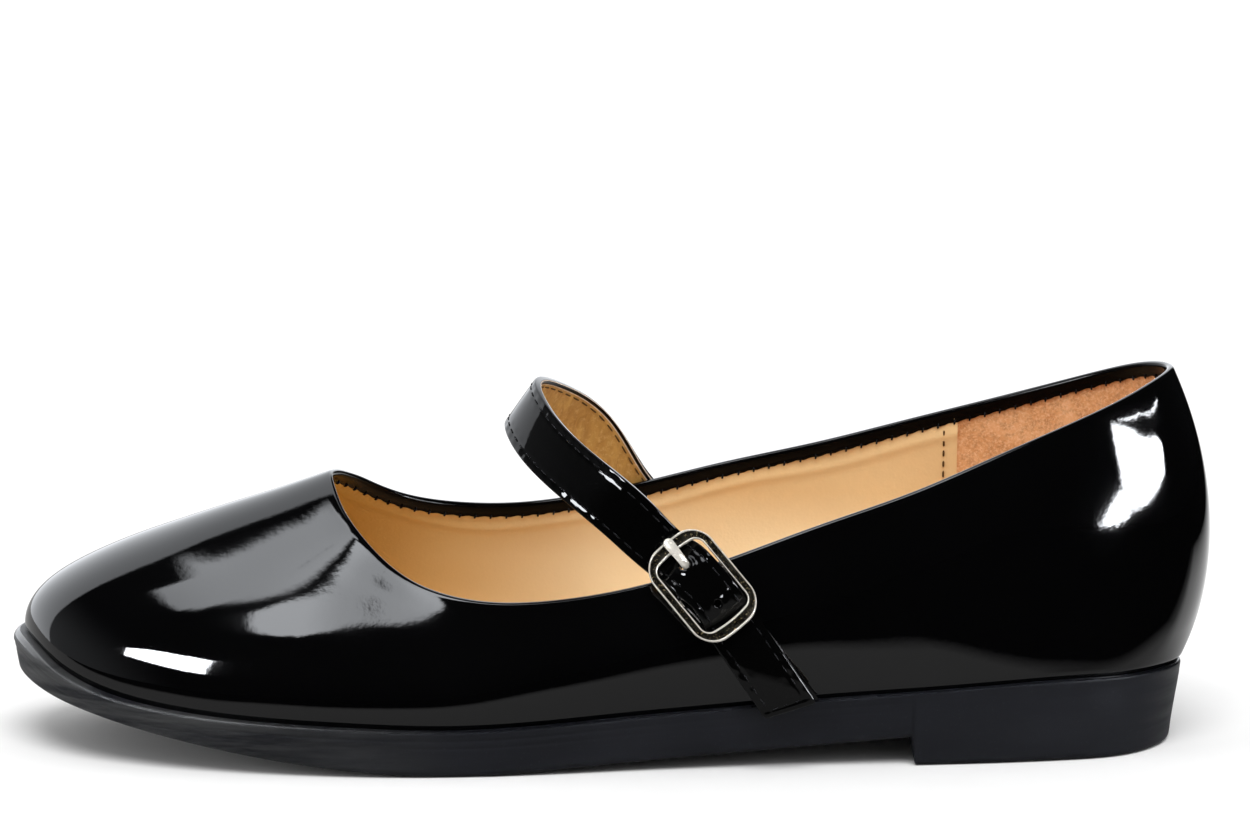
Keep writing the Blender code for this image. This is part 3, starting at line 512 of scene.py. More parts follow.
class BuckleSeat:
    """The lateral quarter under the buckle: places measured along, across and off the strap there."""

    def __init__(self, last):
        self.last = last
        self.origin, self.normal = last.over(BUCKLE_X, BUCKLE_Z, True)
        n = self.normal
        run_x, run_z = -math.cos(BUCKLE_RUN), math.sin(BUCKLE_RUN)
        self.up = unit(np.array([run_x, -(n[0] * run_x + n[2] * run_z) / n[1], run_z]))
        self.across = unit(np.cross(self.up, n))
        self.across *= math.copysign(1.0, self.across[0])

    def flat(self, distance, width, lift):
        """Places off the flat plane that touches the quarter at the centre bar."""
        distance, width, lift = (np.asarray(v, float)[..., None] for v in (distance, width, lift))
        return self.origin + self.up * distance + self.across * width + self.normal * lift

    def draped(self, distance, width, lift):
        """Place measured from the quarter itself below the centre bar, and its outward normal."""
        if distance >= 0.0:
            return self.flat(distance, width, lift), self.normal
        x, z = BUCKLE_X, BUCKLE_Z
        for run, reach in ((BUCKLE_RUN, min(-distance, RUN_CHANGE)), (TAIL_RUN, -distance - RUN_CHANGE)):
            x += math.cos(run) * max(reach, 0.0)
            z -= math.sin(run) * max(reach, 0.0)
        point, normal = self.last.over(x + self.across[0] * width, z + self.across[2] * width, True)
        return point + normal * lift, normal


class StrapCourse:
    """Where the long strap's inner face lies, from its tail to its end on the medial side."""

    def __init__(self, last, seat):
        self.last = last
        lateral = table(COURSE_COLUMNS, STRAP_COURSE)
        arched = table(ARCH_COLUMNS, STRAP_ARCH)
        course = []
        for distance, lift, shift in zip(*(lateral[name] * MM for name in COURSE_COLUMNS)):
            place, normal = seat.draped(distance, shift, lift)
            course.append((*place, *normal, STRAP_WIDTH / 2.0))
        medial = []
        for reach in MEDIAL_STEP * np.arange(MEDIAL_STEPS):
            x = MEDIAL_CROSSING[0] + math.cos(MEDIAL_RUN) * reach
            z = MEDIAL_CROSSING[1] - math.sin(MEDIAL_RUN) * reach
            place, normal = last.over(x, z, False)
            medial.append((*(place + normal * BAND_GAP), *normal, INSTEP_WIDTH / 2.0))
        arch = np.column_stack([arched["x"], arched["y"], arched["z"]]) * MM
        path = [np.array(course[-1][:3]), *arch, np.array(medial[0][:3])]
        for i, lean in enumerate(np.radians(arched["lean"])):
            across = np.array([math.cos(lean), 0.0, math.sin(lean)])
            normal = unit(np.cross(across, path[i + 2] - path[i]))
            course.append((*arch[i], *normal, INSTEP_WIDTH / 2.0))
        self.path = smooth_path(course + medial)
        self.length = self.path.knots[-1]
        self.bar = self.path.knots[list(lateral["distance"]).index(0.0)]
        self.tail = float(halving(lambda d: self.place(d, 0.0)[..., 2] - TAIL_END_Z, 0.0, self.bar))

    def axes(self, distance):
        reach = 0.0005
        distance = np.asarray(distance, float)
        along = unit(self.path.at(distance + reach)[..., :3] - self.path.at(distance - reach)[..., :3])
        normal = self.path.at(distance)[..., 3:6]
        normal = unit(normal - along * np.sum(along * normal, -1, keepdims=True))
        return along, np.cross(along, normal), normal

    def place(self, distance, share, lift=0.0):
        """Place on the band: share is -1 at its front edge and 1 at its back edge."""
        _, across, normal = self.axes(distance)
        here = self.path.at(distance)
        width = (here[..., 6] * share)[..., None]
        return here[..., :3] + across * width + normal * np.asarray(lift, float)[..., None]

    def half_width(self, distance):
        return self.path.at(distance)[..., 6]

    def ends(self, shares):
        """Distances of the tail's cut and of the medial end, for each share of the width."""

        def below_cut(distance):
            offset = self.place(distance, shares) - self.place(self.tail, 0.0)
            return offset[..., 2] * math.cos(TAIL_CUT) - offset[..., 0] * math.sin(TAIL_CUT)

        def above_rim(distance):
            place = self.place(distance, shares)
            return self.last.rim_height(place[..., 0]) + GAP - place[..., 2]

        ones = np.ones_like(shares)
        tail_ends = (ones * (self.tail + side * STRAP_WIDTH / 2.0) for side in (-1.0, 1.0))
        medial_ends = (ones * (self.length - length) for length in (2.0 * END_LENGTH, 0.0))
        return halving(below_cut, *tail_ends), halving(above_rim, *medial_ends)


# ---------------- Mesh helpers ----------------


def grid_faces(rows, columns, wrap_rows=False, wrap_columns=False, start=0):
    """Four-sided faces between neighbouring rows of a grid of points."""
    index = np.arange(rows * columns).reshape(rows, columns) + start
    below = index if wrap_rows else index[:-1]
    above = np.roll(index, -1, axis=0) if wrap_rows else index[1:]
    right, right_above = np.roll(below, -1, axis=1), np.roll(above, -1, axis=1)
    if not wrap_columns:
        below, right, right_above, above = (part[:, :-1] for part in (below, right, right_above, above))
    return np.stack([below, right, right_above, above], -1).reshape(-1, 4)


def new_piece(name, points, faces, materials, shades, angle):
    """Makes one closed mesh object, in the frame's own place."""
    mesh = bpy.data.meshes.new(name)
    mesh.from_pydata((points + SHIFT).tolist(), [], [list(map(int, face)) for face in faces])
    for material in materials:
        mesh.materials.append(material)
    mesh.polygons.foreach_set("material_index", np.asarray(shades, np.int32))
    work = bmesh.new()
    work.from_mesh(mesh)
    bmesh.ops.remove_doubles(work, verts=work.verts, dist=WELD)
    bmesh.ops.dissolve_degenerate(work, edges=work.edges, dist=WELD / 2)
    bmesh.ops.recalc_face_normals(work, faces=work.faces)
    work.to_mesh(mesh)
    work.free()
    mesh.validate()
    mesh.shade_smooth()
    mesh.set_sharp_from_angle(angle=math.radians(angle))
    piece = bpy.data.objects.new(name, mesh)
    bpy.context.scene.collection.objects.link(piece)
    return piece


class Builder:
    """Gathers grids and caps of one piece. Shades number the material of each face."""

    def __init__(self):
        self.points, self.faces, self.shades, self.count = [], [], [], 0

    def scatter(self, points):
        """Adds points with no faces yet, and gives the number of the first."""
        first = self.count
        self.points.append(points.reshape(-1, 3))
        self.count += len(self.points[-1])
        return first

    def grid(self, points, **wraps):
        first = self.scatter(points)
        faces = grid_faces(*points.shape[:2], **wraps, start=first)
        self.faces += faces.tolist()
        self.shades += [0] * len(faces)
        return first

    def cap(self, indices):
        self.faces.append(list(indices))
        self.shades.append(0)

    def rod(self, rings):
        """Closed rod through rings of points, flat at both ends."""
        first = self.grid(rings, wrap_columns=True)
        around = rings.shape[1]
        for start in (first, first + (len(rings) - 1) * around):
            self.cap(range(start, start + around))

    def tube(self, centres, side, up, side_radii, up_radii, around):
        """Closed rod of oval rings, with its two half widths at each centre."""
        angle = 2.0 * math.pi * np.arange(around) / around
        across = (side * side_radii[:, None])[:, None] * np.cos(angle)[:, None]
        self.rod(centres[:, None] + across + (up * up_radii[:, None])[:, None] * np.sin(angle)[:, None])

    def stitch(self, start, stop, up, radius, sink):
        """One stitch of thread lying on a surface: a capsule whose ends dip into it."""
        place = np.linspace(0.0, 1.0, STITCH_RINGS)
        along = stop - start
        ends = np.abs(2.0 * place - 1.0)
        centres = start + along * place[:, None] + up * (radius * (1.0 - sink - 1.1 * ends ** 4))[:, None]
        radii = radius * np.sqrt(np.maximum(1.0 - ends ** 5, 0.12))
        self.tube(centres, unit(np.cross(up, along)), up, radii, radii, STITCH_SIDES)

    def make(self, name, materials, angle):
        return new_piece(name, np.concatenate(self.points), self.faces, materials, self.shades, angle)


def finish(piece, slot, *nodes):
    """Every piece rides on the one body. The slot argument is not used."""
    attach(piece, "root")
    if nodes:
        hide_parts(*nodes)


def join_apply(piece, cutters, operation):
    """Cuts holes or joins rods for good."""
    for cutter in cutters:
        step = piece.modifiers.new(cutter.name, "BOOLEAN")
        step.operation = operation
        step.solver = "EXACT"
        step.object = cutter
    bpy.context.view_layer.update()
    graph = bpy.context.evaluated_depsgraph_get()
    mesh = bpy.data.meshes.new_from_object(piece.evaluated_get(graph))
    mesh.validate()
    piece.modifiers.clear()
    piece.data = mesh
    for cutter in cutters:
        bpy.data.objects.remove(cutter)


# ---------------- The upper: patent shell, lining, heel grip and stitches ----------------


class Profile:
    """How far each place of the upper's wall lies below the topline, for columns of parameters."""

    def __init__(self, last, columns):
        self.last = last
        self.columns = columns
        places = last.wall(columns[None, :], FINE_SHARES[:, None])
        steps = np.linalg.norm(np.diff(places, axis=0), axis=2)
        self.depth = np.concatenate([np.cumsum(steps[::-1], axis=0)[::-1], np.zeros((1, len(columns)))])

    def share(self, depth):
        """Share of the wall at a depth below the topline: one number or one for each column."""
        depth = np.broadcast_to(depth, self.columns.shape)
        return np.array([np.interp(-d, -line, FINE_SHARES) for d, line in zip(depth, self.depth.T)])

    def at_depth(self, depth, inward):
        """A row of places at a depth below the topline, moved in from the outer face."""
        return self.last.inner(self.columns, self.share(depth), inward)


def upper_form(places):
    """Soft hollows and swells that leather keeps, in metres off the last."""
    x, y, z = places.T
    swell = 0.00008 * np.sin(x * 95.0 + y * 40.0 + 1.0) * np.cos(y * 120.0 - z * 70.0)
    return swell + 0.00002 * np.sin(x * 230.0 - y * 190.0 + z * 160.0)


def upper_outer_rows(last, columns, top):
    """Rows of the upper's outer face, tucked in just above the sole."""
    foot = last.wall(columns, top * 0.0)[:, 2]
    foot_levels, levels = np.linspace(0.0, FOOT_SHARE, 9), np.linspace(FOOT_SHARE, 1.0, OUTER_ROWS)
    for level in (*foot_levels, *levels[1:]):
        place = last.wall(columns, top * level)
        fade = ease(0.0, 0.08, level) * ease(0.0, 0.12, 1.0 - level)
        swell = upper_form(place) * fade
        normal = last.normal(columns, top * level)
        rise = (place + normal * swell[:, None])[:, 2] - foot
        tuck = TUCK_DEPTH * (1.0 - np.clip(rise / TUCK_HEIGHT, 0.0, 1.0)) ** 2
        place = place + normal * (swell - tuck)[:, None]
        if level == 0.0:
            place[:, 2] -= GAP + 0.00005
        yield place


def make_upper_shell(last, patent, turned):
    columns = last.period * np.arange(LOOP) / LOOP
    profile = Profile(last, columns)
    top = profile.share(FOLD_RADIUS)
    rows = list(upper_outer_rows(last, columns, top))
    turned_from = len(rows) + 7
    normal = last.normal(columns, top)
    centre = last.inner(columns, top, FOLD_RADIUS)
    rise = unit(np.cross(normal, np.roll(centre, -1, axis=0) - np.roll(centre, 1, axis=0)))
    for angle in np.linspace(0.0, math.pi, 13)[1:-1]:
        rows.append(centre + FOLD_RADIUS * (normal * math.cos(angle) + rise * math.sin(angle)))
    length = travelled(np.concatenate([centre, centre[:1]]))[1:]
    stitches = round(length[-1] / TOP_PITCH)
    phase = 2.0 * math.pi * stitches * (length - length[0]) / length[-1]
    depth = BAND_DEPTH + 0.00016 * np.cos(phase)
    for extra in np.linspace(0.0, 1.0, 9):
        press = 0.00010 * bump_curve(depth * (1.0 - extra), 0.0007, 0.0005)
        rows.append(profile.at_depth(FOLD_RADIUS + depth * extra, FOLD_INNER - press))
    low = FOLD_RADIUS + depth + 0.00008
    rows.append(profile.at_depth(low, FOLD_INNER - 0.0001))
    rows.append(profile.at_depth(low, BAND_BACK + 0.0001))
    rows.append(profile.at_depth(FOLD_RADIUS + depth, BAND_BACK))
    rows.append(profile.at_depth(FOLD_RADIUS + 0.0010, BAND_BACK))
    slot_top = profile.share(FOLD_RADIUS + 0.0010)
    for level in np.linspace(1.0, 0.0, 13):
        rows.append(last.inner(columns, slot_top * level, SKIN))
    rows[-1][:, 2] -= GAP
    builder = Builder()
    builder.grid(np.array(rows), wrap_rows=True, wrap_columns=True)
    builder.shades = np.repeat(np.arange(len(rows)) >= turned_from, LOOP)
    finish(builder.make("upper_shell", [patent, turned], 50.0), "patent_leather", "upper")


def edge_parameters(last, shares, x):
    """Parameters on the lateral and the medial side where the wall crosses a level place x."""
    ones = np.ones_like(shares)

    def crossing(sign, low, high):
        return halving(lambda t: sign * (last.wall(t, shares)[..., 0] - x), ones * last.half * low,
                       ones * last.half * high)

    return crossing(1.0, 0.3, 1.0), crossing(-1.0, 1.0, 1.7)


def make_inside(name, last, columns, ends, thickness, relief, material):
    """Thin closed solid on the inside of the wall.

    ends holds the parameters where it starts and stops, for EDGE_SHARES of the wall. thickness holds
    how far its face and its back lie in from the wall. relief lifts the face further, given its
    places, their parameters and their depths below the topline."""
    start, stop = ends
    sweep = np.linspace(0.0, 1.0, columns)
    middle = len(EDGE_SHARES) // 2
    profile = Profile(last, start[middle] + (stop - start)[middle] * sweep)
    share = np.linspace(0.0, 1.0, INSIDE_ROWS)[:, None] * profile.share(FOLD_RADIUS + INSIDE_TOP)
    first = np.interp(share, EDGE_SHARES, start)
    t = first + (np.interp(share, EDGE_SHARES, stop) - first) * sweep
    depth = np.array([np.interp(one, FINE_SHARES, line) for one, line in zip(share.T, profile.depth.T)]).T
    front, back = thickness
    builder = Builder()
    borders = []
    for inward in (front + relief(last.wall(t, share), t, depth), back):
        index = np.arange(share.size).reshape(share.shape) + builder.grid(last.inner(t, share, inward))
        borders.append(np.concatenate([index[0], index[1:, -1], index[-1, -2::-1], index[-2:0:-1, 0]]))
    one, two = borders
    for corners in zip(one, np.roll(one, -1), np.roll(two, -1), two):
        builder.cap(corners)
    finish(builder.make(name, [material], 45.0), "insole_leather")


def make_lining(last, lining):
    """Tan lining in front of the heel grip, gathered by the topline's stitches."""

    def relief(place, t, depth):
        x, z = place[..., 0], place[..., 2]
        below = depth - FOLD_RADIUS - BAND_DEPTH
        pucker = 0.00010 * np.cos(2.0 * math.pi * t / TOP_PITCH) * bump_curve(below, 0.0004, 0.0009)
        fold = 0.00032 * bump_curve(below, 0.0030 + 0.0004 * np.sin(x * 160.0), 0.0011)
        edge = 0.00026 * bump_curve(x, LINING_EDGE_X - 0.0006, 0.0007)
        return pucker + fold + edge + 0.00015 * np.sin(x * 120.0 + z * 90.0) * np.cos(z * 260.0 - x * 35.0)

    lateral, medial = edge_parameters(last, EDGE_SHARES, LINING_EDGE_X)
    ends = (medial - last.period, lateral)
    make_inside("lining", last, LINING_COLUMNS, ends, (LINING_FACE, LINING_BACK), relief, lining)


def make_heel_grip(last, suede):
    """Suede piece at the back of the inside, under the lining's edge."""

    def relief(place, t, depth):
        y, z = place[..., 1], place[..., 2]
        return 0.00010 * np.sin(y * 210.0 + z * 130.0) * np.cos(z * 190.0)

    ends = edge_parameters(last, EDGE_SHARES, GRIP_EDGE_X)
    make_inside("heel_grip", last, GRIP_COLUMNS, ends, (GRIP_FACE, SKIN + 0.00003), relief, suede)


def make_topline_stitches(last, thread):
    """Short stitches over the fold's lower edge, all round the opening."""
    columns = np.linspace(0.0, last.period, 4 * LOOP, endpoint=False)
    profile = Profile(last, columns)
    low = FOLD_RADIUS + BAND_DEPTH
    edge = profile.at_depth(low, FOLD_INNER)
    normal = last.normal(columns, profile.share(low))
    length = travelled(np.concatenate([edge, edge[:1]]))
    count = round(length[-1] / TOP_PITCH)
    above = profile.at_depth(low - TOP_STITCH_HALF, FOLD_INNER - 0.00005)
    below = profile.at_depth(low + TOP_STITCH_HALF, LINING_FACE + 0.0002)
    slant = unit(np.roll(below, -1, axis=0) - below) * TOP_STITCH_SLANT
    builder = Builder()
    for k in range(count):
        i = int(np.searchsorted(length, length[-1] * (k + 0.5) / count)) % len(columns)
        builder.stitch(above[i] - slant[i], below[i] + slant[i], -normal[i], THREAD_RADIUS, 0.3)
    finish(builder.make("topline_stitches", [thread], 80.0), "patent_leather")


def make_lining_stitches(last, thread):
    """Rows of stitches that hold the lining's back edges down on the heel grip."""
    builder = Builder()
    shares = np.linspace(0.0, 1.0, SEAM_PLACES)
    for t in edge_parameters(last, shares, SEAM_X):
        place = last.inner(t, shares, LINING_FACE + 0.00012)
        normal = last.normal(t, shares)
        length = travelled(place)
        high = length[-1] - FOLD_RADIUS - BAND_DEPTH - 0.0008
        for k in range(int((high - SEAM_FOOT) / SEAM_PITCH)):
            start = high - (k + 1) * SEAM_PITCH + 0.0004
            i, j = np.searchsorted(length, (start, start + SEAM_STITCH))
            builder.stitch(place[i], place[j], -normal[i], THREAD_RADIUS, 0.35)
    finish(builder.make("lining_stitches", [thread], 80.0), "insole_leather")


# ---------------- Sock and sole ----------------


def across_rows(last, count):
    """Parameters of rows across the shoe from toe to heel, closer together at both ends."""
    even = np.linspace(0.0, 1.0, count)
    return last.half * (0.45 * (1.0 - np.cos(math.pi * even)) / 2.0 + 0.55 * even)


def sock_crown(x, y, from_edge):
    """Height of the sock over its edge: soft crown, heel seat, ball hollow, arch cookie and wrinkles."""
    crown = 0.0008 * (1.0 - np.exp(-from_edge / 0.0022))
    for height, centre_x, reach_x, centre_y, reach_y in SOCK_FORMS:
        crown += height * bump_curve(x, centre_x, reach_x) * bump_curve(y, centre_y, reach_y)
    crown += 0.00008 * np.sin(x * 210.0 + y * 90.0) * np.cos(y * 260.0)
    return crown * (1.0 - np.exp(-from_edge / 0.004))


def make_insole_sock(last, leather):
    t = across_rows(last, SOCK_ROWS)
    sides = []
    for parameter in (t, last.period - t):
        base = last.loops[0].at(parameter)[:, 2]
        share = halving(lambda s: last.wall(parameter, s)[:, 2] - base - INSOLE_THICKNESS + 0.0008,
                        np.zeros(SOCK_ROWS), np.full(SOCK_ROWS, 0.6))
        place = last.inner(parameter, share, LINING_FACE + 0.0001)
        place[:, 2] = base + INSOLE_THICKNESS - 0.0006
        sides.append(place)
    near, far = sides
    sweep = crowded(SOCK_COLUMNS, 1.35)
    share = (sweep[:, None] + 1.0) / 2.0
    face = near[:, None] * (1.0 - share) + far[:, None] * share
    width = np.linalg.norm(far - near, axis=1)[:, None]
    x, y = face[..., 0], face[..., 1]
    from_ends = np.minimum(x - near[0, 0], near[-1, 0] - x)
    face[..., 2] += sock_crown(x, y, np.minimum(width * (1.0 - np.abs(sweep)) / 2.0, from_ends))
    lower = face.copy()
    lower[..., 2] = near[:, None, 2] - INSOLE_THICKNESS + 0.0012
    builder = Builder()
    a, b = builder.grid(face), builder.grid(lower)
    index = np.arange(SOCK_ROWS * SOCK_COLUMNS).reshape(SOCK_ROWS, SOCK_COLUMNS)
    for edge in (index[:, 0], index[:, -1]):
        for one, two in zip(edge, edge[1:]):
            builder.cap((a + one, a + two, b + two, b + one))
    piece = builder.make("insole_sock", [leather], 50.0)
    finish(piece, "insole_leather", "insole")


def sole_side(x, height):
    """Rows from the sole's inner top edge over its rim and down its side to the tread: how far in from
    the rim each row lies, and its height."""
    rounding = RIM_ROUND + TOE_ROUND * ease(-0.113, -0.125, x)
    taper = SOLE_TAPER + (HEEL_TAPER - SOLE_TAPER) * np.clip((x - BREAST_X) / HEEL_LENGTH, 0.0, 1.0)
    top, low = height - rounding, underside(x) + EDGE_ROUND
    for inset, drop in ((0.0052, 0.0004), (0.0036, 0.0001), (0.0022, 0.0)):
        yield inset, height - drop
    for angle in np.linspace(0.0, math.pi / 2.0, 7):
        yield rounding * (1.0 - math.sin(angle)), top + rounding * math.cos(angle)
    for share in np.linspace(0.0, 1.0, SIDE_ROWS)[1:]:
        depth = height - top - (low - top) * share
        groove = 0.00010 * bump_curve(depth, 0.0021, 0.0003) + 0.00006 * bump_curve(depth, 0.0037, 0.0003)
        soft = 0.00007 * np.sin(x * 140.0 + depth * 300.0)
        soft *= ease(0.0, 0.2, share) * ease(0.0, 0.2, 1.0 - share)
        yield taper * share + groove * (0.25 + 0.75 * ease(0.004, -0.030, x)) + soft, height - depth
    for angle in np.linspace(0.0, math.pi / 2.0, 7)[1:]:
        yield taper + EDGE_ROUND * (1.0 - math.cos(angle)), low - EDGE_ROUND * math.sin(angle)


def tread_ribs(x, from_edge):
    """Fine ribs across the tread, under the ball and under the heel."""
    under_ball = ease(-0.012, -0.016, x) * ease(-0.098, -0.094, x)
    under_heel = ease(0.072, 0.076, x) * ease(0.112, 0.108, x)
    ribs = TREAD_DEPTH * (0.5 + 0.5 * np.cos(2.0 * math.pi * x / TREAD_PITCH)) ** 2
    return ribs * ease(0.004, 0.006, from_edge) * (under_ball + under_heel)


def fill_sole(builder, ring, base, ribbed):
    """Closes one ring of the sole with rows from its lateral to its medial side."""
    size = len(ring)
    rows = size // 2 + 1
    share = (crowded(41, 1.25)[1:-1] + 1.0) / 2.0
    near = np.arange(rows)
    far = (size - near) % size
    inner = ring[near][:, None] * (1.0 - share)[:, None] + ring[far][:, None] * share[:, None]
    if ribbed:
        width = np.abs(ring[near][:, 1] - ring[far][:, 1])[:, None]
        inner[..., 2] += tread_ribs(inner[..., 0], np.minimum(share, 1.0 - share) * width)
    start = builder.scatter(inner[1:-1])
    lines = [[base] * (len(share) + 2)]
    for i in range(1, rows - 1):
        first = start + (i - 1) * len(share)
        lines.append([base + near[i], *range(first, first + len(share)), base + far[i]])
    lines.append([base + rows - 1] * (len(share) + 2))
    for one, two in zip(lines, lines[1:]):
        for k in range(len(share) + 1):
            corners = list(dict.fromkeys((one[k], one[k + 1], two[k + 1], two[k])))
            if len(corners) > 2:
                builder.cap(corners)


def make_outsole_unit(last, rubber, rim_rubber):
    """Moulded sole: rounded rim, grooved side, low heel with an upright breast, fine tread below."""
    t_half = across_rows(last, SOLE_ROWS)
    breast = float(halving(lambda t: last.rim.at(t)[..., 0] - BREAST_X, 0.0, last.half))
    extra = breast + BREAST_RUN * np.array(BREAST_ROWS)
    t_half = np.sort(np.concatenate([t_half[np.abs(t_half - breast) > 0.0016], extra]))
    t = np.concatenate([t_half, last.period - t_half[-2:0:-1]])
    rim = last.rim.at(t)
    outward = last.outward(t)
    rings = []
    for inset, z in sole_side(rim[:, 0], rim[:, 2]):
        place = rim - outward * np.broadcast_to(inset, t.shape)[:, None]
        place[:, 2] = z
        rings.append(place)
    builder = Builder()
    builder.grid(np.array(rings), wrap_columns=True)
    ring_shades = [int(ring in RIM_LINE) for ring in range(len(rings) - 1)]
    builder.shades = np.repeat(ring_shades, len(t)).tolist()
    fill_sole(builder, rings[0], 0, False)
    fill_sole(builder, rings[-1], (len(rings) - 1) * len(t), True)
    finish(builder.make("outsole_unit", [rubber, rim_rubber], 45.0), "outsole_rubber", "outsole")


# ---------------- Straps ----------------


def band_section():
    """Closed cross-section of the band, from its front edge over the outer face and back below: the
    width and height of each place and the finish of the face after it, 0 patent, 1 lining and 2 cut
    edge."""
    half, soft = INSTEP_WIDTH / 2.0, EDGE_SOFT
    front = [(0.00012 - half, 0.00012), (-half, RAW_EDGE), (-half, LINING_PART)]
    for angle in np.linspace(0.0, math.pi / 2.0, 6):
        rise = soft * (1.0 - math.sin(angle))
        front.append((soft * (1.0 - math.cos(angle)) - half, STRAP_THICKNESS - rise))
    flat = [(w, STRAP_THICKNESS) for w in np.linspace(soft - half, half - soft, BAND_COLUMNS)[1:-1]]
    back = [(-w, h) for w, h in reversed(front)]
    lined = half - BACK_MARGIN - PALE_STRIP
    lining = np.linspace(lined, soft * 0.6 - half, BAND_COLUMNS // 2)
    under = [(w, 0.0) for w in (half - soft * 0.6, half - BACK_MARGIN, *lining)]
    section = front + flat + back + under
    shades = []
    for (w, h), (next_w, next_h) in zip(section, section[1:] + section[:1]):
        across, rise = (w + next_w) / 2.0, (h + next_h) / 2.0
        if rise < 1e-9:
            shades.append(0 if across > half - BACK_MARGIN else 2 if across > lined else 1)
        elif rise < 0.0001:
            shades.append(0 if across > 0.0 else 1)
        else:
            shades.append(2 if rise < RAW_EDGE else 0)
    return np.array(section).T, shades


def strap_relief(width, half_width, distance, holes):
    """Small shape of the band's outer face: stitch grooves, puckers and swells round the holes."""
    edge = half_width - np.abs(width)
    phase = 2.0 * math.pi * distance / STITCH_PITCH
    lift = -0.00007 * bump_curve(edge, STITCH_INSET, GROOVE_REACH)
    lift += 0.00004 * bump_curve(edge, 0.0009, 0.0006) * np.cos(phase)
    lift += 0.00006 * bump_curve(width / half_width, 0.0, 0.55)
    lift += 0.000012 * np.cos(phase + 1.3) * bump_curve(edge, 0.0026, 0.0006)
    for place, length, across in holes:
        along = np.maximum(np.abs(distance - place) - (length - across), 0.0)
        lift += 0.00016 * bump_curve(np.hypot(along, width) - across, 0.00035, 0.0005)
    return lift


def tail_curl(below_bar):
    """How far the tail stands off as it springs away from the quarter."""
    return TAIL_CURL * (np.clip(below_bar - CURL_START, 0.0, None) / CURL_RUN) ** 1.3


def waist(from_bar):
    """Share by which the band is squeezed narrower at its front edge beside the centre bar."""
    return WAIST * bump_curve(from_bar, WAIST_PLACE, WAIST_REACH)


def make_strap_band(course, patent, tan, raw_edge):
    (widths, heights), shades = band_section()
    shares = widths / (INSTEP_WIDTH / 2.0)
    near, far = course.ends(shares)
    sweep = np.linspace(0.0, 1.0, BAND_ROWS)[:, None]
    plain = near.mean() + (far.mean() - near.mean()) * sweep
    blend = ease(0.0, END_LENGTH, plain - near.mean()) * ease(0.0, END_LENGTH, far.mean() - plain)
    distance = (near + (far - near) * sweep) * (1.0 - blend) + plain * blend
    half = course.half_width(distance)
    width = shares * half
    from_tail = distance - near
    narrow = 1.0 - END_NARROW * (1.0 - quarter_round(np.minimum(from_tail, far - distance), END_ROUND))
    thin = 1.0 - TAIL_THIN * (1.0 - quarter_round(from_tail, TAIL_ROUND))
    outer = np.clip((heights / STRAP_THICKNESS - 0.6) / 0.4, 0.0, 1.0)
    holes = [(course.bar + place, *halves) for place, *halves in SEEN_HOLES]
    groove = TAIL_GROOVE * bump_curve(from_tail, TAIL_STITCH_INSET, GROOVE_REACH)
    groove *= ease(0.0, TAIL_ROUND, half - np.abs(width))
    crown = ease(*CROWN_RANGE, distance - course.bar) * TAIL_CROWN * (1.0 - shares ** 2)
    lift = heights * thin + outer * (strap_relief(width, half, distance, holes) - groove + crown)
    across = shares * narrow * (1.0 - waist(distance - course.bar) * (shares < 0.0))
    builder = Builder()
    builder.rod(course.place(distance, across, lift + tail_curl(course.bar - distance)))
    builder.shades = shades * (BAND_ROWS - 1) + [0, 0]
    piece = builder.make("strap_band", [patent, tan, raw_edge], 60.0)
    cutters = []
    for i, (place, length, half_across) in enumerate(holes):
        bottom = HOLE_FLOOR if length == half_across else SLOT_FLOOR
        cutters.append(hole_cutter(f"hole_{i}", course, place, bottom, length, half_across))
    join_apply(piece, cutters, "DIFFERENCE")
    finish(piece, "strap_patent_leather", "instep_strap")


def hole_cutter(name, course, place, bottom, length, half_across):
    """Round or long cutter that stands on the band, its floor at a height over the inner face."""
    along, side, normal = course.axes(place)
    angle = 2.0 * math.pi * np.arange(40)[:, None] / 40
    straight = (length - half_across) * np.sign(np.cos(angle))
    ring = along * (half_across * np.cos(angle) + straight) + side * half_across * np.sin(angle)
    centre = course.place(place, 0.0, bottom)
    builder = Builder()
    builder.rod(centre + np.array([ring, ring + normal * CUTTER_HEIGHT]))
    return builder.make(name, [], 30.0)


